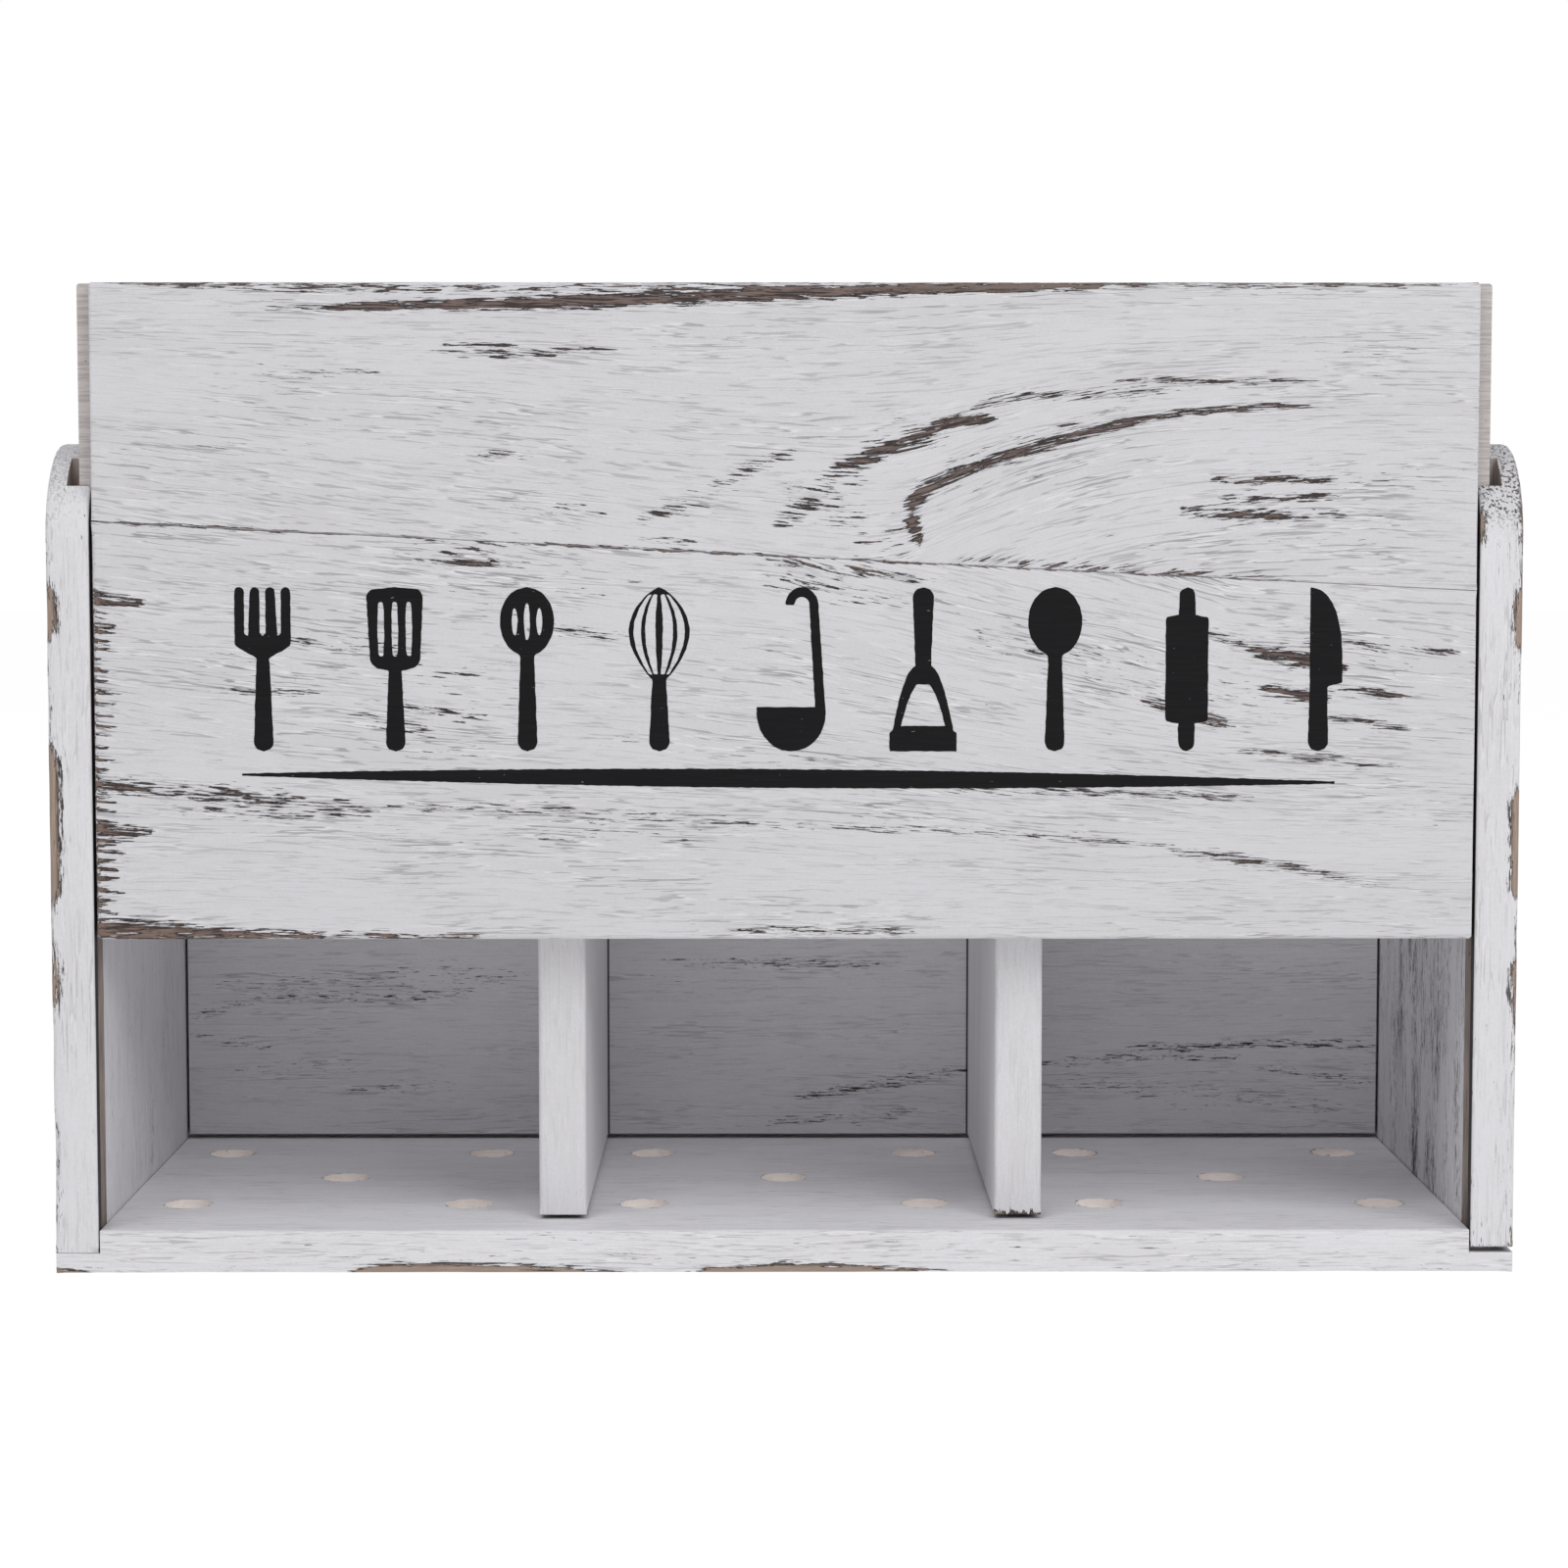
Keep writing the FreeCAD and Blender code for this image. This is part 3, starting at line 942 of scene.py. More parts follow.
LOWER_STROKES = SEAM_STROKES + (
    (1.4, 1.04, -75, 146.8, -57, 145.2),
    (1.5, 0.98, -4, 146.2, 31, 142.2),
    (4, 0.78, -6, 143.6, 10, 141, 24, 137.4),
    (0.9, 0.96, -118, 120.2, -93, 119.6),
    (2.6, 0.84, -106, 130.8, -73, 128.2),
    (1, 0.96, -73, 123.6, -58, 122.6),
    (1.7, 0.95, -79, 117, -60, 114.2),
    (2, 0.94, -89, 114.8, -72, 112.4),
    (1.5, 0.9, -53, 132.6, -31, 130.6),
    (7, 0.62, -116, 126, -84, 121, -52, 117),
    (2.4, 1.02, -130, 99.8, -108, 98.2, -84, 95.2),
    (1.4, 0.95, -126, 96.2, -97, 94),
    (2, 0.84, -84, 96.4, -44, 95, 4, 92.4),
    (2.2, 0.76, -56, 89.6, -38, 91.2, -18, 89.2),
    (2.5, 0.66, -40, 110, -10, 107, 20, 105.6),
    (1.9, 1.32, 94, 128.4, 114, 124.4),
    (1.4, 1.34, 97, 120.6, 111, 118.2),
    (1.3, 1, 108, 120.8, 128, 118.6),
    (1.8, 1.16, 73, 118, 91, 113),
    (1.2, 0.98, 110, 114.4, 128, 112.2),
    (1.3, 1, 92, 107.8, 125, 104.4),
    (1.9, 0.96, 79, 133.6, 95, 128.8),
    (1, 0.96, 106, 129.8, 138, 127.6),
    (8, 0.7, 40, 131, 102, 115.6),
    (5, 0.66, 104, 133, 132, 122),
    (1.2, 1, 31, 99.8, 70, 99, 96, 98),
    (0.9, 0.95, -4, 92.4, 30, 91.6, 53, 90.2, 80, 88.2),
    (1.3, 1.08, 78, 87.4, 94, 85.4, 111, 82.6),
    (0.9, 0.96, 103, 83.6, 123, 79.8),
    (1.4, 1.26, -150, 70.6, -118, 70.2, -94, 69.8),
    (1, 1.08, -106, 69.8, -62, 69.8),
    (1, 1.02, -12, 71, 27, 70.8),
    (1.2, 0.8, -140.4, 112, -140.4, 96),
    (1.4, 1.04, -140.4, 92, -140.4, 60),
    (1.5, 1.2, -145, 138.8, -130, 138),
    (1.7, 1.28, -149, 101.2, -128, 100.2),
    (1.7, 1.28, -149, 91.8, -129, 91),
    (2, 1.42, -152, 72.4, -132, 71, -112, 69.8),
)
BACK_STROKES = (
    (2, 0.86, -142, 37, -121, 43.2, -104, 42.2, -90, 42.6, -70, 44),
    (3.6, 0.74, -134, 46, -98, 47, -56, 48.2),
    (1.5, 0.88, -143, 33.6, -120, 30.6),
    (1.6, 0.82, -104, 20.4, -76, 21.4),
    (2.5, 0.72, -130, 25, -100, 27),
    (1.5, 0.9, -28, 51.2, 26, 50.2),
    (1.7, 0.96, 2, 18.4, 24, 22, 47, 25.6),
    (2.4, 0.78, -6, 12.6, 34, 15.4),
    (1.2, 1, 58, 26.6, 80, 28.2, 108, 28),
    (1.2, 1.04, 80, 30.2, 92, 31, 110, 31.2, 146, 31.4),
    (3.8, 0.74, 62, 22.6, 100, 19, 134, 16.6),
    (1.4, 0.9, 112, 26, 140, 22),
    (3, 0.84, -120, 112, -60, 108, 0, 110),
    (3, 0.84, 10, 88, 60, 92, 120, 90),
    (3, 0.8, -100, 148, -20, 152, 40, 149),
)
FACE_DEPTH = 2.5
BEHIND = 0.1
TIP_SHARE = 0.3
STROKE_SPREAD = 1.65


def stroke_rub(strokes, places, loose):
    """How far the paint is rubbed through at each place: strokes on the front face, little behind it."""
    flat = places[:, (X, Z)] / MM
    rub = loose.copy()
    for half, strength, *numbers in strokes:
        ends = np.reshape(numbers, (-1, 2))
        runs = np.diff(ends, axis=0)
        spans = np.linalg.norm(runs, axis=1)
        starts = np.cumsum(spans) - spans
        for here, run, span, start in zip(ends, runs, spans, starts):
            share = np.clip((flat - here) @ run / span ** 2, 0.0, 1.0)
            gap = np.linalg.norm(flat - here - share[:, None] * run, axis=1)
            place = (start + share * span) / spans.sum()
            taper = TIP_SHARE + (1 - TIP_SHARE) * np.sqrt(np.clip(4 * place * (1 - place), 0.0, None))
            rub = np.maximum(rub, strength * np.exp(-((gap / (STROKE_SPREAD * half * taper)) ** 2)))
    face_end = places[:, Y].min() + FACE_DEPTH * MM
    return np.where(places[:, Y] < face_end, rub, loose + BEHIND)


# Operators

CHIPPED_LESS = 0.5
# Reach of the painted shade in the gap at a board's foot
JOINT_SHADE_EDGE = (0.2, 0.05)
TIGHT = 0.18 * MM
RIGHT_DIVIDER = "right_divider"


def box(node):
    """A CAD node's lowest and highest corner as arrays."""
    low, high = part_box(node)
    return np.array(low), np.array(high)


def rectangle(p0, q0, p1, q1):
    """Corners of an upright rectangle, counterclockwise."""
    return [(p0, q0), (p1, q0), (p1, q1), (p0, q1)]


def shares(size, near, far):
    """Shares of a size for the four sides of the near and the far face."""
    return [[size * share for share in side] for side in (near, far)]


class CADDY_OT_front_boards(bpy.types.Operator):
    """Make the two glued boards of the sliding panel with their tongues and worn faces"""

    bl_idname = "caddy.front_boards"
    bl_label = "Front boards"

    GLUE = 0.02 * MM
    FINE_ROWS = 0.42
    # tone 0.90 makes a darker copy of the whitewash: painted shade that evens the panel's light with the
    # carcass
    COAT = {"spacing": 1.3, "dash": 6.0, "tone": 0.90}
    EDGE_X = 140.4
    # Painted shade on the panel's ends: strength, and where it starts and ends past the edge
    DIRT = (0.6, 0.02, 0.1)
    TICK_TOP, TICK_FOOT = 140.0, 73.0
    TICK_REACH = (3.6, 4.0, 5.0, 1.7)
    TICK_STEP = (2.15, 1.3, 3.0, 8.2)
    TICK_LEAN, TICK_HALF, TICK_STRENGTH = 0.5, 0.60, 1.24
    LOOSE = 0.34
    LOOSE_PATCHES = (0.55, 34.0, 9.0, 12.5)
    CLEAN_FOOT = (0.2, 92.0, 76.0)
    CLEAN_TOP = (0.1, 140.0, 160.0)

    def execute(self, context):
        sizes, colours = values(context)
        skin, worn = sizes.skin, sizes.ease
        low, high = box("front_upper_board")
        foot, left_z = [corner[Z] for corner in box("front_lower_board")]
        tongue, right_z = high[X], low[Z]
        face = box("back_board")[1][X] - sizes.edge_gap
        raw = raw_wood("tongue_wood", colours, colours.tongue, streak=0.65)
        upper_paint = whitewash("upper_whitewash", colours, fibres=0.82, bare="upper_bare", **self.COAT)
        lower_paint = whitewash(
            "lower_whitewash", colours, fibres=0.90, bare="lower_bare", reach=4.5, **self.COAT
        )

        def corners(reach, upper):
            left, right = skin - reach, reach - skin
            glue = self.GLUE if upper else -self.GLUE
            seam = [left_z + (right_z - left_z) * (x + tongue) / (2 * tongue) + glue for x in (left, right)]
            lows, highs = (seam, 2 * [high[Z] - skin]) if upper else (2 * [foot + skin], seam)
            return [(left, lows[0]), (right, lows[1]), (right, highs[1]), (left, highs[0])]

        def show_tongues(piece):
            for polygon in piece.data.polygons:
                polygon.material_index = int(abs(polygon.center.x) > face)

        for name, node, paint, radii, eases, chips, wears, grain, strokes, seed in (
            ("worn_upper_front", "front_upper_board", upper_paint, (TIGHT, TIGHT, worn, worn),
             (TIGHT, 0.6 * worn, worn, 0.7 * worn), (0.1, 0.3, 1.0, 0.4), (0.4, 0.3, 1.15, 0.35), upper_grain,
             UPPER_STROKES, 3.0),
            ("worn_lower_front", "front_lower_board", lower_paint, (1.6 * worn, worn, TIGHT, TIGHT),
             (worn, 0.6 * worn, TIGHT, 0.9 * worn), (0.9, 0.3, 0.1, 1.0), (1.0, 0.3, 0.3, 0.4), lower_grain,
             LOWER_STROKES + self.edge_ticks(), 17.0),
        ):
            upper = paint is upper_paint
            board = Board(
                (X, Z, Y), low[Y] + 2 * skin, 1, high[Y] - low[Y] - 3 * skin, corners(face, upper),
                corners(tongue, upper), sizes.lip + sizes.slide_gap - skin, radii=radii, eases=(eases, eases),
                chips=[[size * share for share in chips] for size in (sizes.chip, CHIPPED_LESS * sizes.chip)],
                wears=(wears, wears), seed=seed,
            )
            dress(
                name, node, board, (sizes.mesh_step, self.FINE_ROWS * sizes.mesh_step), [paint, raw], grain,
                lambda places: self.rub(strokes, places), PANEL, show_tongues, joint=self.joint,
            )
        return {"FINISHED"}

    def edge_ticks(self):
        """Short rubbed ticks along the left end of the lower board."""
        def unsteady(z, middle, swing, pitch, row):
            return middle + swing * noise.noise(Vector((z / pitch, row, 0.0)))

        ticks = []
        z = self.TICK_TOP
        while z > self.TICK_FOOT:
            reach = unsteady(z, *self.TICK_REACH)
            ends = (-self.EDGE_X - reach, z + self.TICK_LEAN, reach - self.EDGE_X, z - self.TICK_LEAN)
            ticks.append((self.TICK_HALF, self.TICK_STRENGTH, *ends))
            z -= unsteady(z, *self.TICK_STEP)
        return tuple(ticks)

    def rub(self, strokes, places):
        """Rubbing of a front board: its strokes and loose patches, fewer at the foot and at the top."""
        x, _, z = places.T / MM
        loose = self.LOOSE + ripple(x, z, *self.LOOSE_PATCHES)
        for less, start, end in (self.CLEAN_FOOT, self.CLEAN_TOP):
            loose -= less * smooth(start, end, z)
        return stroke_rub(strokes, places, loose)

    def joint(self, places):
        """Painted shade on the ends of a front board, in the gaps beside the lips."""
        strength, start, end = self.DIRT
        return strength * smooth(self.EDGE_X + start, self.EDGE_X + end, np.abs(places[:, X]) / MM)


class CADDY_OT_side_boards(bpy.types.Operator):
    """Make the two side boards with rounded shoulders and raw grooves"""

    bl_idname = "caddy.side_boards"
    bl_label = "Side boards"

    # Left and right: gap under the foot in skins, corner and ease there, pores of the ends, bare edge
    CRACK = {-1: -0.8, 1: 11.25}
    FOOT = {-1: (0.2 * MM, 0.04 * MM), 1: (0.6 * MM, 0.3 * MM)}
    PORES = {-1: (0.35, 0.30), 1: (0.05, 0.90)}
    BARE_WIDTH = {-1: 3.1, 1: 2.5}
    LIGHT = 0.42
    LIGHT_PATCHES = (0.45, 26.0, 6.0, 3.3)
    BARE = 1.9
    BARE_PATCHES = (1.0, 26.0, 1.0)
    BARE_EDGE = (-0.25, 0.15)
    BARE_TOP = (150.0, 135.0)
    BARE_LOW = (0.4, 45.0, 70.0)
    # Extra rubbing low on the right side's inner face, dashes and painted shade: strength, limits across it,
    # then heights
    INNER = (0.30, 1.0, 0.2)
    INNER_LOW = (105.0, 65.0)
    SPOT = (1.6, 153.5, 5.5, 2.3, 4.0)
    # Painted shade on the lip's inner face beside the panel, in millimetres from the face
    LIP_EDGE = (0.14, 0.09)
    PAST = 4 * MM

    def execute(self, context):
        sizes, colours = values(context)
        skin, worn = sizes.skin, sizes.ease
        raw = raw_wood("groove_wood", colours, colours.groove, streak=0.6, order=(Z, X, Y))
        groove_rear = box("front_upper_board")[1][Y] + sizes.slide_gap
        step = sizes.mesh_step
        for node, sign in (("left_side_board", -1), ("right_side_board", 1)):
            low, high = box(node)
            outer, inner = (low[X], high[X]) if sign < 0 else (high[X], low[X])
            foot = low[Z] + self.CRACK[sign] * skin
            corner, ease = self.FOOT[sign]
            board = Board(
                (Y, Z, X), outer - sign * skin, -sign, high[X] - low[X] - 2 * skin,
                rectangle(low[Y] + skin, foot, high[Y] - skin, high[Z] - skin),
                radii=(corner, corner, worn, sizes.shoulder),
                eases=((ease, 0.6 * worn, worn, 1.1 * worn), (ease, 0.3 * worn, 0.8 * worn, 0.8 * worn)),
                chips=shares(sizes.chip, (0.0, 0.4, 0.7, 1.3), (0.0, 0.0, 0.4, 0.4)),
                wears=((0.0, 1.5, 1.3, 1.3), (0.0, 0.0, 0.9, 0.5)), reach=1.4, seed=30.0 + 7 * sign,
            )
            paint = whitewash(
                node + "_whitewash", colours, fibres=0.42, spacing=1.3, dash=2.5, ends=self.PORES[sign]
            )
            groove = np.array((
                (inner - sign * self.PAST, inner + sign * sizes.groove_depth),
                (low[Y] + sizes.lip, groove_rear),
                (low[Z] - self.PAST, high[Z] + self.PAST),
            ))
            dress(
                "worn_" + node, node, board, (step, step), [paint], upright_grain,
                lambda places: self.rub(places, inner, low[Y], sign),
                shape=lambda piece: self.cut_groove(piece, groove, raw),
                joint=lambda places: self.joint(places, inner, low[Y] + sizes.lip, foot),
            )
        return {"FINISHED"}

    @staticmethod
    def cut_groove(piece, ends, raw):
        """Opens the groove from the top to the foot."""
        mesh = bpy.data.meshes.new("groove")
        work = bmesh.new()
        bmesh.ops.create_cube(work, size=1.0)
        for vertex in work.verts:
            vertex.co = [ends[k].mean() + vertex.co[k] * np.ptp(ends[k]) for k in range(3)]
        work.to_mesh(mesh)
        work.free()
        carve(piece, add_object("groove", mesh, [raw]))

    def joint(self, places, inner, lip, foot):
        """Painted shade on the lip's inner face, in the gap beside the panel, and in the gap under the right
        side.
        """
        on_lip = smooth(*self.LIP_EDGE, np.abs(places[:, X] - inner) / MM) * (places[:, Y] < lip)
        return np.maximum(on_lip, (inner > 0) * smooth(*JOINT_SHADE_EDGE, (places[:, Z] - foot) / MM))

    def rub(self, places, inner, front, sign):
        """Light rubbing, bare stretches of the outer front arris, and more low on the right side's inner
        face: dashes and painted shade.
        """
        x, y, z = (places - (inner, front, 0.0)).T / MM
        light = self.LIGHT + ripple(z, y + x, *self.LIGHT_PATCHES)
        corner = np.hypot(np.abs(x).max() - np.abs(x), y)
        bare = smooth(*self.BARE_EDGE, ripple(z, np.zeros(len(z)), *self.BARE_PATCHES, inner))
        least, start, end = self.BARE_LOW
        bare *= smooth(*self.BARE_TOP, z) * (least + (1 - least) * smooth(start, end, z))
        light = np.maximum(light, self.BARE * bare * np.exp(-((corner / self.BARE_WIDTH[sign]) ** 2)))
        if sign < 0:
            return light
        strength, middle, high, wide, deep = self.SPOT
        spot = strength * np.exp(-((z - middle) / high) ** 2 - (x / wide) ** 2 - (y / deep) ** 2)
        more, start, end = self.INNER
        return np.maximum(light + more * smooth(start, end, x) * smooth(*self.INNER_LOW, z), spot)


class CADDY_OT_base_board(bpy.types.Operator):
    """Make the base board with its end rabbets and drilled drain holes"""

    bl_idname = "caddy.base_board"
    bl_label = "Base board"

    CORNER = 0.3 * MM
    FACETS = 44
    PAST = 2 * MM
    # Drills from below: depth of the tear inside each face, and how ragged it is
    TEAR_DEPTHS = (0.6 * MM, 0.9 * MM)
    TEARS = (0.22 * MM, 0.0, 0.0, 1.6 * MM)
    TEAR_LEVEL = (1.8, 0.1)
    TEAR_PITCH, TEAR_ROW = 3.1, 2.7
    LIGHT = 0.18
    RIM, RIM_WIDTH = 0.85, 0.6
    FRONT, FRONT_DEPTH = 0.36, 2 * MM
    FADED = 0.25
    MIDDLE = ((-95.0, -82.0), (42.0, 26.0))
    LEFT_CORNER = (-140.0, -147.0)

    def execute(self, context):
        sizes, colours = values(context)
        skin, worn, step = sizes.skin, sizes.ease, sizes.mesh_step
        low, high = box("base_board")
        inner = box("back_board")[1][X]
        front, rear = low[Y] + skin, high[Y] - skin
        shelf = box("left_side_board")[0][Z] - skin
        board = Board(
            (X, Y, Z), high[Z] - skin, -1, high[Z] - low[Z] - 2 * skin,
            rectangle(skin - inner, front, inner - skin, rear),
            rectangle(low[X] + skin, front, high[X] - skin, rear), high[Z] - skin - shelf,
            radii=[self.CORNER] * 4, eases=shares(worn, (0.9, 0.2, 0.3, 0.2), (1.0, 0.8, 0.8, 0.8)),
            chips=shares(sizes.chip, (0.3, 0.0, 0.0, 0.0), (1.2, 0.5, 0.5, 0.5)),
            wears=((0.3, 0.0, 0.0, 0.0), (2.4, 1.3, 1.3, 1.3)), reach=1.8, seed=51.0,
        )
        paint = whitewash("base_whitewash", colours, fibres=0.5, spacing=1.4, tone=1.04)
        raw = raw_wood("drilled_wood", colours, colours.drilled, streak=0.15)
        holes = self.hole_places(sizes)

        def rub(places):
            gap = np.abs(nearest(places[:, :2], holes) - sizes.hole / 2) / MM
            on_front = np.exp(-(places[:, Y] - front) / self.FRONT_DEPTH)
            return self.LIGHT + self.RIM * np.exp(-gap / self.RIM_WIDTH) + self.FRONT * on_front

        def drill(piece):
            carve(piece, add_object("drills", self.drills(holes, low, high, sizes), [raw]))

        dress(
            "worn_base_board", "base_board", board, (step, step), [paint], floor_grain, rub, shape=drill,
            fade=self.fade,
        )
        return {"FINISHED"}

    def fade(self, places):
        """Wear of the lower front arris in its middle stretch and at the left corner."""
        x = places[:, X] / MM
        left, right = self.MIDDLE
        middle = smooth(*left, x) * smooth(*right, x)
        return self.FADED + (1 - self.FADED) * np.maximum(middle, smooth(*self.LEFT_CORNER, x))

    @staticmethod
    def hole_places(sizes):
        """Middles of the drain holes: five in each compartment."""
        low, high = box(RIGHT_DIVIDER)
        thickness = high[X] - low[X]
        rear, inner = box("back_board")[0][Y], box("back_board")[1][X]
        pitch = (2 * inner - 2 * thickness) / 3 + thickness
        middle = (box("front_upper_board")[1][Y] + rear) / 2
        half = sizes.hole_pitch / 2
        spots = ((-half, -half), (half, -half), (0.0, 0.0), (-half, half), (half, half))
        return np.array([(column * pitch + dx, middle + dy) for column in (-1, 0, 1) for dx, dy in spots])

    def drills(self, holes, low, high, sizes):
        """Drills for all the holes, a little ragged where they break through the faces."""
        below, above = self.TEAR_DEPTHS
        levels = (low[Z] - self.PAST, low[Z] + below, high[Z] - above, high[Z] + self.PAST)
        factor, start = self.TEAR_LEVEL
        turn = np.arange(self.FACETS)
        circle = np.array([(math.cos(angle), math.sin(angle)) for angle in 2 * math.pi * turn / self.FACETS])
        places, faces = [], []
        for index, middle in enumerate(holes):
            row = index * self.TEAR_ROW
            rough = np.array([noise.noise(Vector((*spot, row))) for spot in self.TEAR_PITCH * circle])
            rings = []
            for level, tear in zip(levels, self.TEARS):
                rings.append(len(places) + turn)
                radius = sizes.hole / 2 + tear * np.clip(factor * rough - start, 0.0, None)
                places += [(*spot, level) for spot in middle + radius[:, None] * circle]
            faces += [rings[0][::-1].tolist(), rings[-1].tolist()]
            for lower, upper in zip(rings, rings[1:]):
                faces += np.column_stack((lower, np.roll(lower, -1), np.roll(upper, -1), upper)).tolist()
        return mesh_of("drills", places, faces)


class CADDY_OT_back_board(bpy.types.Operator):
    """Make the back board that stands on the base between the sides"""

    bl_idname = "caddy.back_board"
    bl_label = "Back board"

    FOOT_GAP = 0.8 * MM
    SIDE_GAP = 5
    CORNER = 0.25 * MM
    COARSE = 1.4
    LOOSE = 0.24
    LOOSE_PATCHES = (0.40, 60.0, 9.0, 5.1)
    JOINT = (0.24, 0.06)
    LINE_OUT, LINE_DEPTH = 0.12, 2.0

    def execute(self, context):
        sizes, colours = values(context)
        skin, worn, tight, step = sizes.skin, sizes.ease, self.CORNER, sizes.mesh_step
        low, high = box("back_board")
        gap = self.SIDE_GAP * skin
        eases = (tight, tight, worn, tight)
        board = Board(
            (X, Z, Y), low[Y] + skin, 1, high[Y] - low[Y] - 2 * skin,
            rectangle(low[X] + gap, low[Z] + self.FOOT_GAP, high[X] - gap, high[Z] - skin),
            radii=(tight, tight, 0.5 * worn, 0.5 * worn), eases=(eases, eases),
            chips=shares(sizes.chip, (0.0, 0.0, 0.6, 0.0), (0.0, 0.0, 0.9, 0.0)),
            wears=((0.0, 0.0, 0.9, 0.0), (0.0, 0.0, 1.1, 0.0)), seed=63.0,
        )
        # Lines of painted shade where the dividers meet the back
        left, right = box("left_divider")[1] / MM, box(RIGHT_DIVIDER)[0] / MM
        face = low[Y] / MM + self.LINE_DEPTH
        lines = [(x, left[Z], face) for x in (left[X] + self.LINE_OUT, right[X] - self.LINE_OUT)]
        paint = whitewash(
            "back_whitewash", colours, fibres=0.55, spacing=1.3, dash=2.6, tone=0.95, lines=lines
        )
        dress(
            "worn_back_board", "back_board", board, (self.COARSE * step, step), [paint], level_grain,
            self.rub, joint=self.joint,
        )
        return {"FINISHED"}

    def rub(self, places):
        """Dashes in level bands."""
        x, _, z = places.T / MM
        return stroke_rub(BACK_STROKES, places, self.LOOSE + ripple(x, z, *self.LOOSE_PATCHES))

    def joint(self, places):
        """Painted shade where the back meets the base and the sides, in the gaps between them."""
        x, z = np.abs(places[:, X]) / MM, places[:, Z] / MM
        return smooth(*self.JOINT, np.minimum(z - z.min(), x.max() - x))


class CADDY_OT_dividers(bpy.types.Operator):
    """Make the two dividers behind the panel"""

    bl_idname = "caddy.dividers"
    bl_label = "Dividers"

    FOOT_GAP = 0.7 * MM
    CORNER = 0.3 * MM
    FOOT_EASE, REAR_EASE = 0.4 * MM, 0.2 * MM
    PORES = (0.35, 0.5)
    LIGHT = 0.08
    FOOT_RUB, FOOT_HIGH = 1.2, 1.6
    FOOT_DEEP = (4.0, 1.0)

    def execute(self, context):
        sizes, colours = values(context)
        skin, worn, step = sizes.skin, sizes.ease, sizes.mesh_step
        paint = whitewash("divider_whitewash", colours, fibres=0.20, spacing=1.7, ends=self.PORES)
        eases = (self.FOOT_EASE, self.REAR_EASE, worn, worn)
        for node, foot_wear, seed in (("left_divider", 0.35, 71.0), (RIGHT_DIVIDER, 0.9, 83.0)):
            low, high = box(node)
            foot = low[Z] + self.FOOT_GAP
            wears = (foot_wear, 0.0, 0.6, 0.25)
            board = Board(
                (Y, Z, X), low[X] + skin, 1, high[X] - low[X] - 2 * skin,
                rectangle(low[Y] + skin, foot, high[Y] - 2 * skin, high[Z] - skin),
                radii=(self.CORNER, self.CORNER, self.CORNER, 1.2 * worn), eases=(eases, eases),
                chips=shares(sizes.chip, *((0.0, 0.0, 0.4, 0.3),) * 2), wears=(wears, wears), seed=seed,
            )
            dress(
                "worn_" + node, node, board, (step, step), [paint], upright_grain,
                lambda places: self.rub(places, node == RIGHT_DIVIDER),
                # Painted shade in the gap at the divider's foot
                joint=lambda places: smooth(*JOINT_SHADE_EDGE, (places[:, Z] - foot) / MM),
            )
        return {"FINISHED"}

    def rub(self, places, worn_foot):
        """Hardly any rubbing, but the right divider's foot is worn in front."""
        rise, behind = (places[:, (Z, Y)] - places[:, (Z, Y)].min(axis=0)).T / MM
        worn = self.FOOT_RUB * np.exp(-((rise / self.FOOT_HIGH) ** 2)) * smooth(*self.FOOT_DEEP, behind)
        return self.LIGHT + worn_foot * worn


# Painted ornament: outlines of kitchen tools in shares of their height, foot at zero

TOOL_STEPS = 72
HANDLE = 0.062
MIRROR = (-1.0, 1.0)


def half_widths(shape):
    """Right-hand edge of a tool that is the same on both sides, from foot to top."""
    rise = np.linspace(0.0, 1.0, TOOL_STEPS)
    return np.column_stack((shape(rise), rise))


def quarter(share):
    """Height of a quarter circle along its foot."""
    return np.sqrt(np.clip(1 - (1 - np.clip(share, 0.0, 1.0)) ** 2, 0.0, None))


def disc(rise, middle, radius_y, radius_x):
    """Half width of an ellipse at each height."""
    return radius_x * np.sqrt(np.clip(1 - ((rise - middle) / radius_y) ** 2, 0.0, None))


def bar(rise, low, high, foot, neck):
    """Half width of a tapering handle with round ends."""
    width = foot + (neck - foot) * np.clip((rise - low) / (high - low), 0.0, 1.0)
    return width * quarter(np.minimum(rise - low, high - rise) / width) * ((rise >= low) & (rise <= high))


def mirrored(edge):
    """Closed outline from the right-hand edge."""
    return np.concatenate((edge, edge[::-1] * MIRROR))


def silhouette(shape):
    """Closed outline of a tool from its half width at each height."""
    return mirrored(half_widths(shape))


def arc(angles, x, z, wide, high):
    """Points on an ellipse."""
    return np.column_stack((x + wide * np.cos(angles), z + high * np.sin(angles)))


def spoon():
    """Spoon with an oval bowl."""
    return [silhouette(
        lambda rise: np.maximum(bar(rise, 0.0, 0.75, HANDLE, 0.036), disc(rise, 0.79, 0.21, 0.165))
    )]


def ladle():
    """Ladle seen from the side, its handle ending in a hook."""
    bend = np.linspace(0.0, math.pi, 14)
    bowl = arc(np.linspace(math.pi, 2 * math.pi, 24), 0.0, 0.23, 0.21, 0.23)
    over, under = arc(bend, 0.065, 0.89, 0.100, 0.110), arc(bend[::-1], 0.065, 0.89, 0.045, 0.050)
    return [np.concatenate((bowl, over, under, ((0.145, 0.27), (-0.21, 0.27))))]


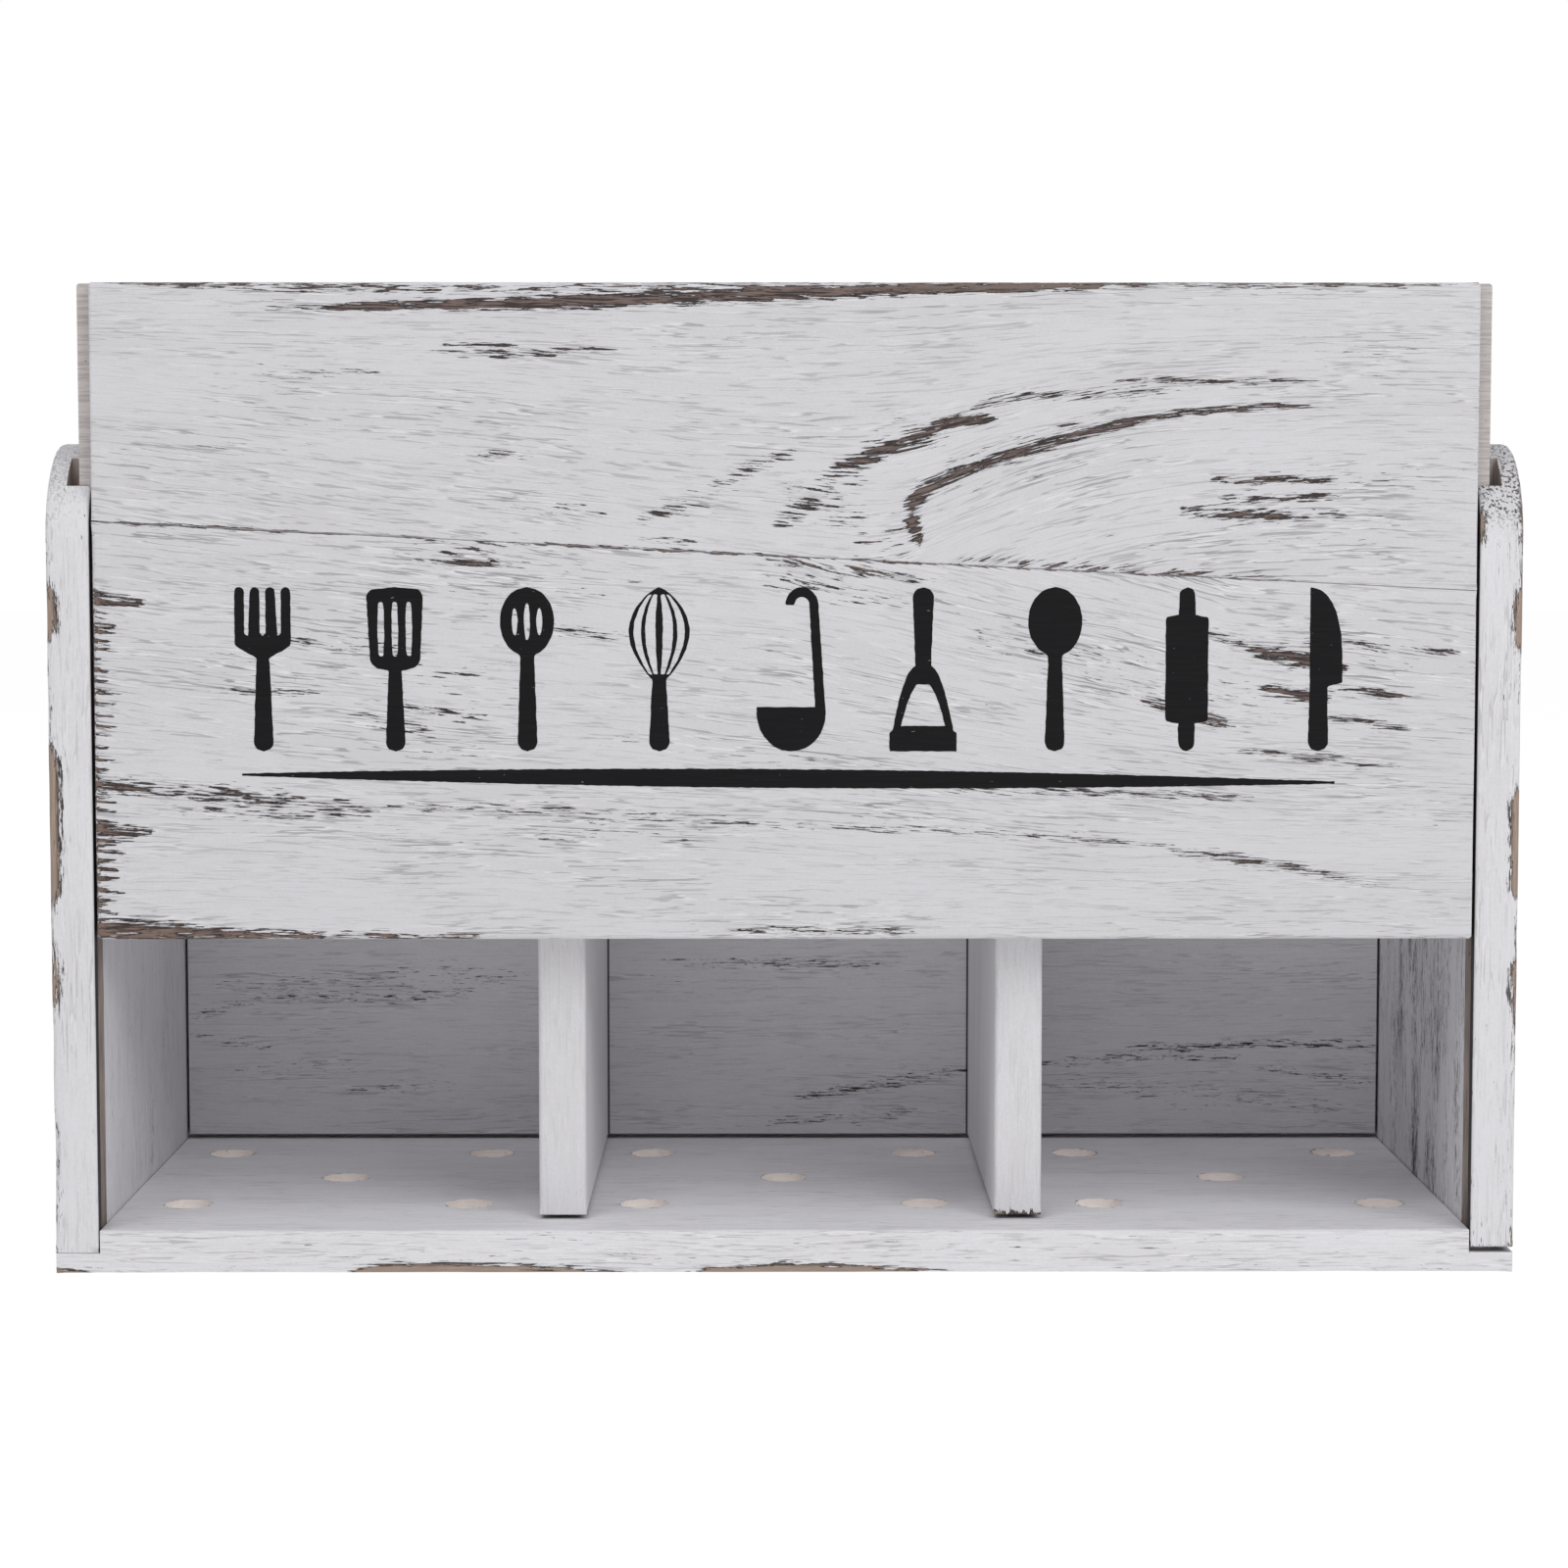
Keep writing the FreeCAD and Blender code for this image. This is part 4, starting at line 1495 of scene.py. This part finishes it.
def turner():
    """Slotted turner."""
    def shape(rise):
        blade = np.where(rise > 0.5, 0.150 + 0.05 * (rise - 0.5), 0.0)
        corner = quarter(np.minimum(rise - 0.5, 1 - rise) / 0.07)
        return np.maximum(bar(rise, 0.0, 0.60, HANDLE, 0.034), blade * (0.55 + 0.45 * corner) * (corner > 0))
    turn = np.linspace(0.0, 2 * math.pi, 20, endpoint=False)
    slot = np.column_stack((0.020 * np.cos(turn), 0.745 + 0.165 * np.clip(1.4 * np.sin(turn), -1, 1)))
    return [silhouette(shape)] + [slot + (offset, 0.0) for offset in (-0.085, 0.0, 0.085)]


def whisk():
    """Balloon whisk with open loops."""
    def loop(rise):
        share = np.clip((rise - 0.40) / 0.60, 0.0, 1.0)
        return 0.185 * np.sin(math.pi * share ** 1.15) ** 0.72
    rise = np.linspace(0.47, 0.955, 26)
    gaps = []
    for near, far in ((0.12, 0.46), (0.60, 0.84)):
        edge, other = [np.column_stack((share * loop(rise), rise)) for share in (near, far)]
        gap = np.concatenate((edge, other[::-1]))
        gaps += [gap, gap * MIRROR]
    return [silhouette(lambda height: np.maximum(bar(height, 0.0, 0.47, 0.066, 0.040), loop(height)))] + gaps


def rolling_pin():
    """Rolling pin on end."""
    def shape(rise):
        grips = np.maximum(bar(rise, 0.0, 0.2, 0.045, 0.055), bar(1 - rise, 0.0, 0.2, 0.045, 0.055))
        corner = np.clip(np.minimum(rise - 0.17, 0.83 - rise) / 0.03, 0.0, 1.0)
        return np.maximum(grips, np.where(corner > 0, 0.115 + 0.015 * np.sqrt(corner), 0.0))
    return [silhouette(shape)]


def fork():
    """Fork with four tines."""
    edge = half_widths(lambda rise: bar(rise, 0.0, 0.70, HANDLE, 0.034))
    neck = np.linspace(0.0, 1.0, 10)
    shoulder = np.column_stack((0.036 + 0.134 * np.sin(neck * math.pi / 2) ** 1.6, 0.56 + 0.10 * neck))
    turn = np.linspace(0.0, math.pi, 7)
    half, gap, root, tip, round_end = 0.029, 0.045, 0.72, 1.0, 0.03
    right = [edge[edge[:, 1] < 0.55], shoulder]
    for middle in (0.141, 0.047):
        right.append(arc(turn, middle, tip - round_end, half, round_end))
        inner = middle - half
        right.append(np.array(((inner, root), (max(inner - gap / 2, 0.0), root - 0.018))))
    return [mirrored(np.concatenate(right))]


def knife():
    """Cook's knife with a straight spine."""
    handle = half_widths(lambda rise: bar(rise, 0.0, 0.60, HANDLE, 0.050))
    handle = handle[handle[:, 1] < 0.40]
    heel, spine = 0.42, -0.055
    rise = np.linspace(heel, 1.0, 30)
    share = (rise - heel) / (1.0 - heel)
    belly = np.column_stack((spine + 0.20 * np.sqrt(np.clip(1 - share ** 3.2, 0.0, None)), rise))
    return [np.concatenate((handle, belly, ((spine, 0.80), (spine, heel)), handle[::-1] * MIRROR))]


def slotted_spoon():
    """Spoon with three slots in its bowl."""
    ring = np.linspace(0.0, 2 * math.pi, 18, endpoint=False)
    slots = ((-0.075, 0.085), (0.0, 0.115), (0.075, 0.085))
    return spoon() + [arc(ring, offset, 0.79, 0.018, tall) for offset, tall in slots]


def masher():
    """Potato masher standing on its plate."""
    def shape(rise):
        plate = np.where(rise <= 0.115, 0.205, 0.0)
        bow = 0.040 + 0.150 * np.sqrt(np.clip((0.52 - rise) / 0.42, 0, 1))
        yoke = np.where((rise > 0.10) & (rise < 0.52), bow, 0.0)
        return np.maximum.reduce((plate, yoke, bar(rise, 0.44, 1.0, 0.045, 0.066)))
    rise = np.linspace(0.0, 1.0, 14)
    side = np.column_stack((0.135 * np.sqrt(1 - rise), 0.155 + 0.275 * rise))
    return [silhouette(shape), mirrored(side[:-1])]


TOOLS = (fork, turner, slotted_spoon, whisk, ladle, masher, spoon, rolling_pin, knife)


class CADDY_OT_ornament(bpy.types.Operator):
    """Paint a row of kitchen tools and a tapering rule on the panel"""

    bl_idname = "caddy.ornament"
    bl_label = "Painted ornament"

    ROW_LEFT = -106.0 * MM
    ROW_RIGHT = 108.5 * MM
    ROW_FOOT = 107.6 * MM
    EDGE_STEP = 0.47 * MM
    EDGE_LEAST = 12
    EDGE_ROUGH = 0.10 * MM
    EDGE_PITCH = 1.1 * MM
    EDGE_ROWS = (0.2, 5.7)
    RULE_LEFT = (-110.5 * MM, 102.9 * MM)
    RULE_RIGHT = (112.0 * MM, 101.2 * MM)
    RULE_STATIONS = 480
    RULE_TIP = 0.22 * MM
    RULE_BULGE = 1.9
    RULE_ROWS = (90.2, 95.7)
    SUNK = 0.01 * MM

    def execute(self, context):
        sizes, colours = values(context)
        paint = black_paint("black_paint", colours)
        face = box("front_lower_board")[0][Y] + 2 * sizes.skin
        for index, tool in enumerate(TOOLS):
            name = "painted_" + tool.__name__
            x = self.ROW_LEFT + (self.ROW_RIGHT - self.ROW_LEFT) * index / (len(TOOLS) - 1)
            shapes = [points * sizes.tool + (x, self.ROW_FOOT) for points in tool()]
            self.settle_paint(name, self.tool_mesh(name, shapes, face, sizes, 10.0 * index), paint)
        self.settle_paint("painted_rule", self.rule_mesh(face, sizes), paint)
        return {"FINISHED"}

    def rule_mesh(self, face, sizes):
        """The tapering rule, pointed at both ends: a thin strip of quads."""
        share = np.linspace(-1.0, 1.0, self.RULE_STATIONS)
        start, end = np.array(self.RULE_LEFT), np.array(self.RULE_RIGHT)
        x, z = (start + (end - start) * (share[:, None] + 1) / 2).T
        half = sizes.rule / 2 * (1 - np.abs(share) ** self.RULE_BULGE) + self.RULE_TIP
        rough = [self.EDGE_ROUGH * wander(x, self.EDGE_PITCH, row) for row in self.RULE_ROWS]
        top, foot = z + half + rough[0], z - half + rough[1]
        rear = np.full(len(x), face + self.SUNK)
        front = rear - sizes.print_lift
        corners = ((front, top), (front, foot), (rear, foot), (rear, top))
        places = np.stack([np.column_stack((x, y, height)) for y, height in corners], axis=1)
        number = np.arange(4 * len(x)).reshape(-1, 4)
        faces = [number[0].tolist(), number[-1, ::-1].tolist()]
        for k in range(4):
            here, there = number[:, k - 1], number[:, k]
            faces += np.column_stack((here[:-1], there[:-1], there[1:], here[1:])).tolist()
        return mesh_of("painted_rule", places.reshape(-1, 3), faces)

    def tool_mesh(self, name, shapes, face, sizes, seed):
        """One thin painted shape, its edge a little ragged."""
        curve = bpy.data.curves.new(name, "CURVE")
        curve.dimensions = "2D"
        curve.fill_mode = "BOTH"
        curve.extrude = sizes.print_lift / 2
        for number, shape in enumerate(shapes):
            points = self.ragged(shape, seed + number)
            spline = curve.splines.new("POLY")
            spline.points.add(len(points) - 1)
            flat = np.column_stack((points, np.zeros(len(points)), np.ones(len(points))))
            spline.points.foreach_set("co", flat.ravel())
            spline.use_cyclic_u = True
        drawn = bpy.data.objects.new(name, curve)
        bpy.context.scene.collection.objects.link(drawn)
        graph = bpy.context.evaluated_depsgraph_get()
        mesh = bpy.data.meshes.new_from_object(drawn.evaluated_get(graph))
        bpy.data.objects.remove(drawn)
        bpy.data.curves.remove(curve)
        for vertex in mesh.vertices:
            x, z, lift = vertex.co
            vertex.co = (x, face + self.SUNK - sizes.print_lift / 2 - lift, z)
        clean(mesh, join=True)
        return mesh

    @staticmethod
    def settle_paint(name, mesh, paint):
        """A painted shape that rides on the panel."""
        piece = add_object(name, mesh, [paint])
        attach(piece, "front_panel")

    def ragged(self, shape, seed):
        """Even stations along a closed outline, moved a little in and out."""
        closed = np.concatenate((shape, shape[:1]))
        place = np.concatenate(((0.0,), np.cumsum(np.linalg.norm(np.diff(closed, axis=0), axis=1))))
        count = max(self.EDGE_LEAST, round(place[-1] / self.EDGE_STEP))
        stations = np.linspace(0.0, place[-1], count, endpoint=False)
        points = np.column_stack([np.interp(stations, place, closed[:, k]) for k in range(2)])
        rough = np.column_stack([wander(stations, self.EDGE_PITCH, seed + row) for row in self.EDGE_ROWS])
        return points + self.EDGE_ROUGH * rough


class CADDY_OT_brads(bpy.types.Operator):
    """Give the brads their steel with scraps of paint"""

    bl_idname = "caddy.brads"
    bl_label = "Brads"

    def execute(self, context):
        steel = brad_steel("painted_brads", values(context)[1])
        for node in ("base_brads", "left_side_brads", "right_side_brads", "back_brads"):
            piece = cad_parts[node]
            if not piece.material_slots:
                raise RuntimeError("no material slot on " + node)
            for slot in piece.material_slots:
                slot.material = steel
        return {"FINISHED"}


FLOOR_GREY = (0.70, 0.70, 0.70, 1.0)
FLOOR_ROUGHNESS = 0.9
WHITE = (1.0, 1.0, 1.0, 1.0)
# Change for rays that the eye sees, and value for the others
FLOOR_GLOW = (-0.06, 1.20)
FLOOR_SHARE = (0.24, 0.60)
SKY_GLOW = (0.71, 0.29)


def seen(tree):
    """One for rays that reach the eye straight, by reflection or through glass."""
    rays = tree.nodes.new("ShaderNodeLightPath").outputs
    straight = calc(tree, "MAXIMUM", rays["Is Camera Ray"], rays["Is Glossy Ray"])
    return calc(tree, "MAXIMUM", straight, rays["Is Transmission Ray"])


@material
def studio_floor(tree, shader):
    """Pale floor that the camera sees as white, with the object's shadow on it."""
    shader.inputs["Base Color"].default_value = FLOOR_GREY
    shader.inputs["Roughness"].default_value = FLOOR_ROUGHNESS
    shader.inputs["Specular IOR Level"].default_value = 0.0
    eye = seen(tree)
    strength = calc(tree, "MULTIPLY_ADD", eye, *FLOOR_GLOW)
    glow = put(tree, "ShaderNodeEmission", {"Color": WHITE, "Strength": strength})
    share = calc(tree, "MULTIPLY_ADD", eye, *FLOOR_SHARE)
    mix = put(tree, "ShaderNodeMixShader", {0: share, 1: shader.outputs[0], 2: glow.outputs[0]})
    surface = next(node for node in tree.nodes if node.type == "OUTPUT_MATERIAL")
    tree.links.new(mix.outputs[0], surface.inputs["Surface"])


class CADDY_OT_stage(bpy.types.Operator):
    """Set the camera, the soft lamps, the white floor and the world"""

    bl_idname = "caddy.stage"
    bl_label = "Stage"

    CAMERA_PLACE = (-3.28 * MM, -755.14 * MM, 151.83 * MM)
    CAMERA_PITCH = 0.0729
    CAMERA_YAW = -0.0044
    CAMERA_LENS = 78.75
    CAMERA_SENSOR = 36.0
    CAMERA_NEAR = 0.01
    FLOOR_SIZE = 12.0
    # Name, place, width and height, and power
    LAMPS = (
        ("right_softbox", (0.85, -1.05, 0.90), (0.9, 0.7), 7.3),
        ("left_softbox", (-0.60, -0.80, 1.40), (0.9, 0.7), 6.1),
        ("top_softbox", (0.05, -0.30, 1.60), (1.4, 1.0), 3.4),
    )

    def execute(self, context):
        scene = context.scene
        scene.view_settings.view_transform = "Standard"
        self.camera(scene)
        self.floor()
        self.world(scene)
        for lamp in self.LAMPS:
            self.lamp(scene, *lamp)
        return {"FINISHED"}

    def camera(self, scene):
        """Camera fitted to the photograph's view."""
        data = bpy.data.cameras.new("camera")
        data.lens = self.CAMERA_LENS
        data.sensor_width = self.CAMERA_SENSOR
        data.sensor_fit = "HORIZONTAL"
        data.clip_start = self.CAMERA_NEAR
        holder = bpy.data.objects.new("camera", data)
        holder.location = self.CAMERA_PLACE
        holder.rotation_euler = (math.pi / 2 - self.CAMERA_PITCH, 0.0, self.CAMERA_YAW)
        scene.collection.objects.link(holder)
        scene.camera = holder

    def floor(self):
        """One large square under the caddy."""
        half = self.FLOOR_SIZE / 2
        mesh = bpy.data.meshes.new("studio_floor")
        mesh.from_pydata([(x, y, 0) for x, y in rectangle(-half, -half, half, half)], [], [(0, 1, 2, 3)])
        add_object("studio_floor", mesh, [studio_floor("studio_floor")])

    @staticmethod
    def world(scene):
        """White surroundings for the eye, soft light for the object."""
        world = bpy.data.worlds.new("studio")
        world.use_nodes = True
        tree = world.node_tree
        tree.nodes.clear()
        strength = calc(tree, "MULTIPLY_ADD", seen(tree), *SKY_GLOW)
        sky = put(tree, "ShaderNodeBackground", {"Color": WHITE, "Strength": strength})
        tree.links.new(sky.outputs[0], tree.nodes.new("ShaderNodeOutputWorld").inputs["Surface"])
        scene.world = world

    @staticmethod
    def lamp(scene, name, place, size, power):
        """Soft rectangular lamp aimed at the caddy."""
        data = bpy.data.lights.new(name, "AREA")
        data.shape = "RECTANGLE"
        data.size, data.size_y = size
        data.energy = power
        holder = bpy.data.objects.new(name, data)
        holder.location = place
        low, high = CAD_BOX
        aim = (low + high) / 2 - Vector(place)
        holder.rotation_euler = aim.to_track_quat("-Z", "Y").to_euler()
        scene.collection.objects.link(holder)


class CADDY_PT_sidebar(bpy.types.Panel):
    """Steps and values of the caddy"""

    bl_idname = "CADDY_PT_sidebar"
    bl_label = "Utensil caddy"
    bl_space_type = "VIEW_3D"
    bl_region_type = "UI"
    bl_category = "Caddy"

    def draw(self, context):
        for step in STEPS:
            self.layout.operator(step.bl_idname)
        for group in values(context):
            column = self.layout.column()
            for name in group.__annotations__:
                column.prop(group, name)


STEPS = (
    CADDY_OT_stage, CADDY_OT_base_board, CADDY_OT_side_boards, CADDY_OT_back_board, CADDY_OT_dividers,
    CADDY_OT_front_boards, CADDY_OT_ornament, CADDY_OT_brads,
)
CLASSES = (CaddySizes, CaddyColours, *STEPS, CADDY_PT_sidebar)


def register():
    for item in CLASSES:
        bpy.utils.register_class(item)
    bpy.types.Scene.caddy_sizes = PointerProperty(type=CaddySizes)
    bpy.types.Scene.caddy_colours = PointerProperty(type=CaddyColours)


def unregister():
    del bpy.types.Scene.caddy_colours
    del bpy.types.Scene.caddy_sizes
    for item in reversed(CLASSES):
        bpy.utils.unregister_class(item)


def main():
    """Dresses the caddy."""
    register()
    for step in STEPS:
        family, name = step.bl_idname.split(".")
        getattr(getattr(bpy.ops, family), name)()
    bpy.context.view_layer.update()


if __name__ == "__main__":
    main()
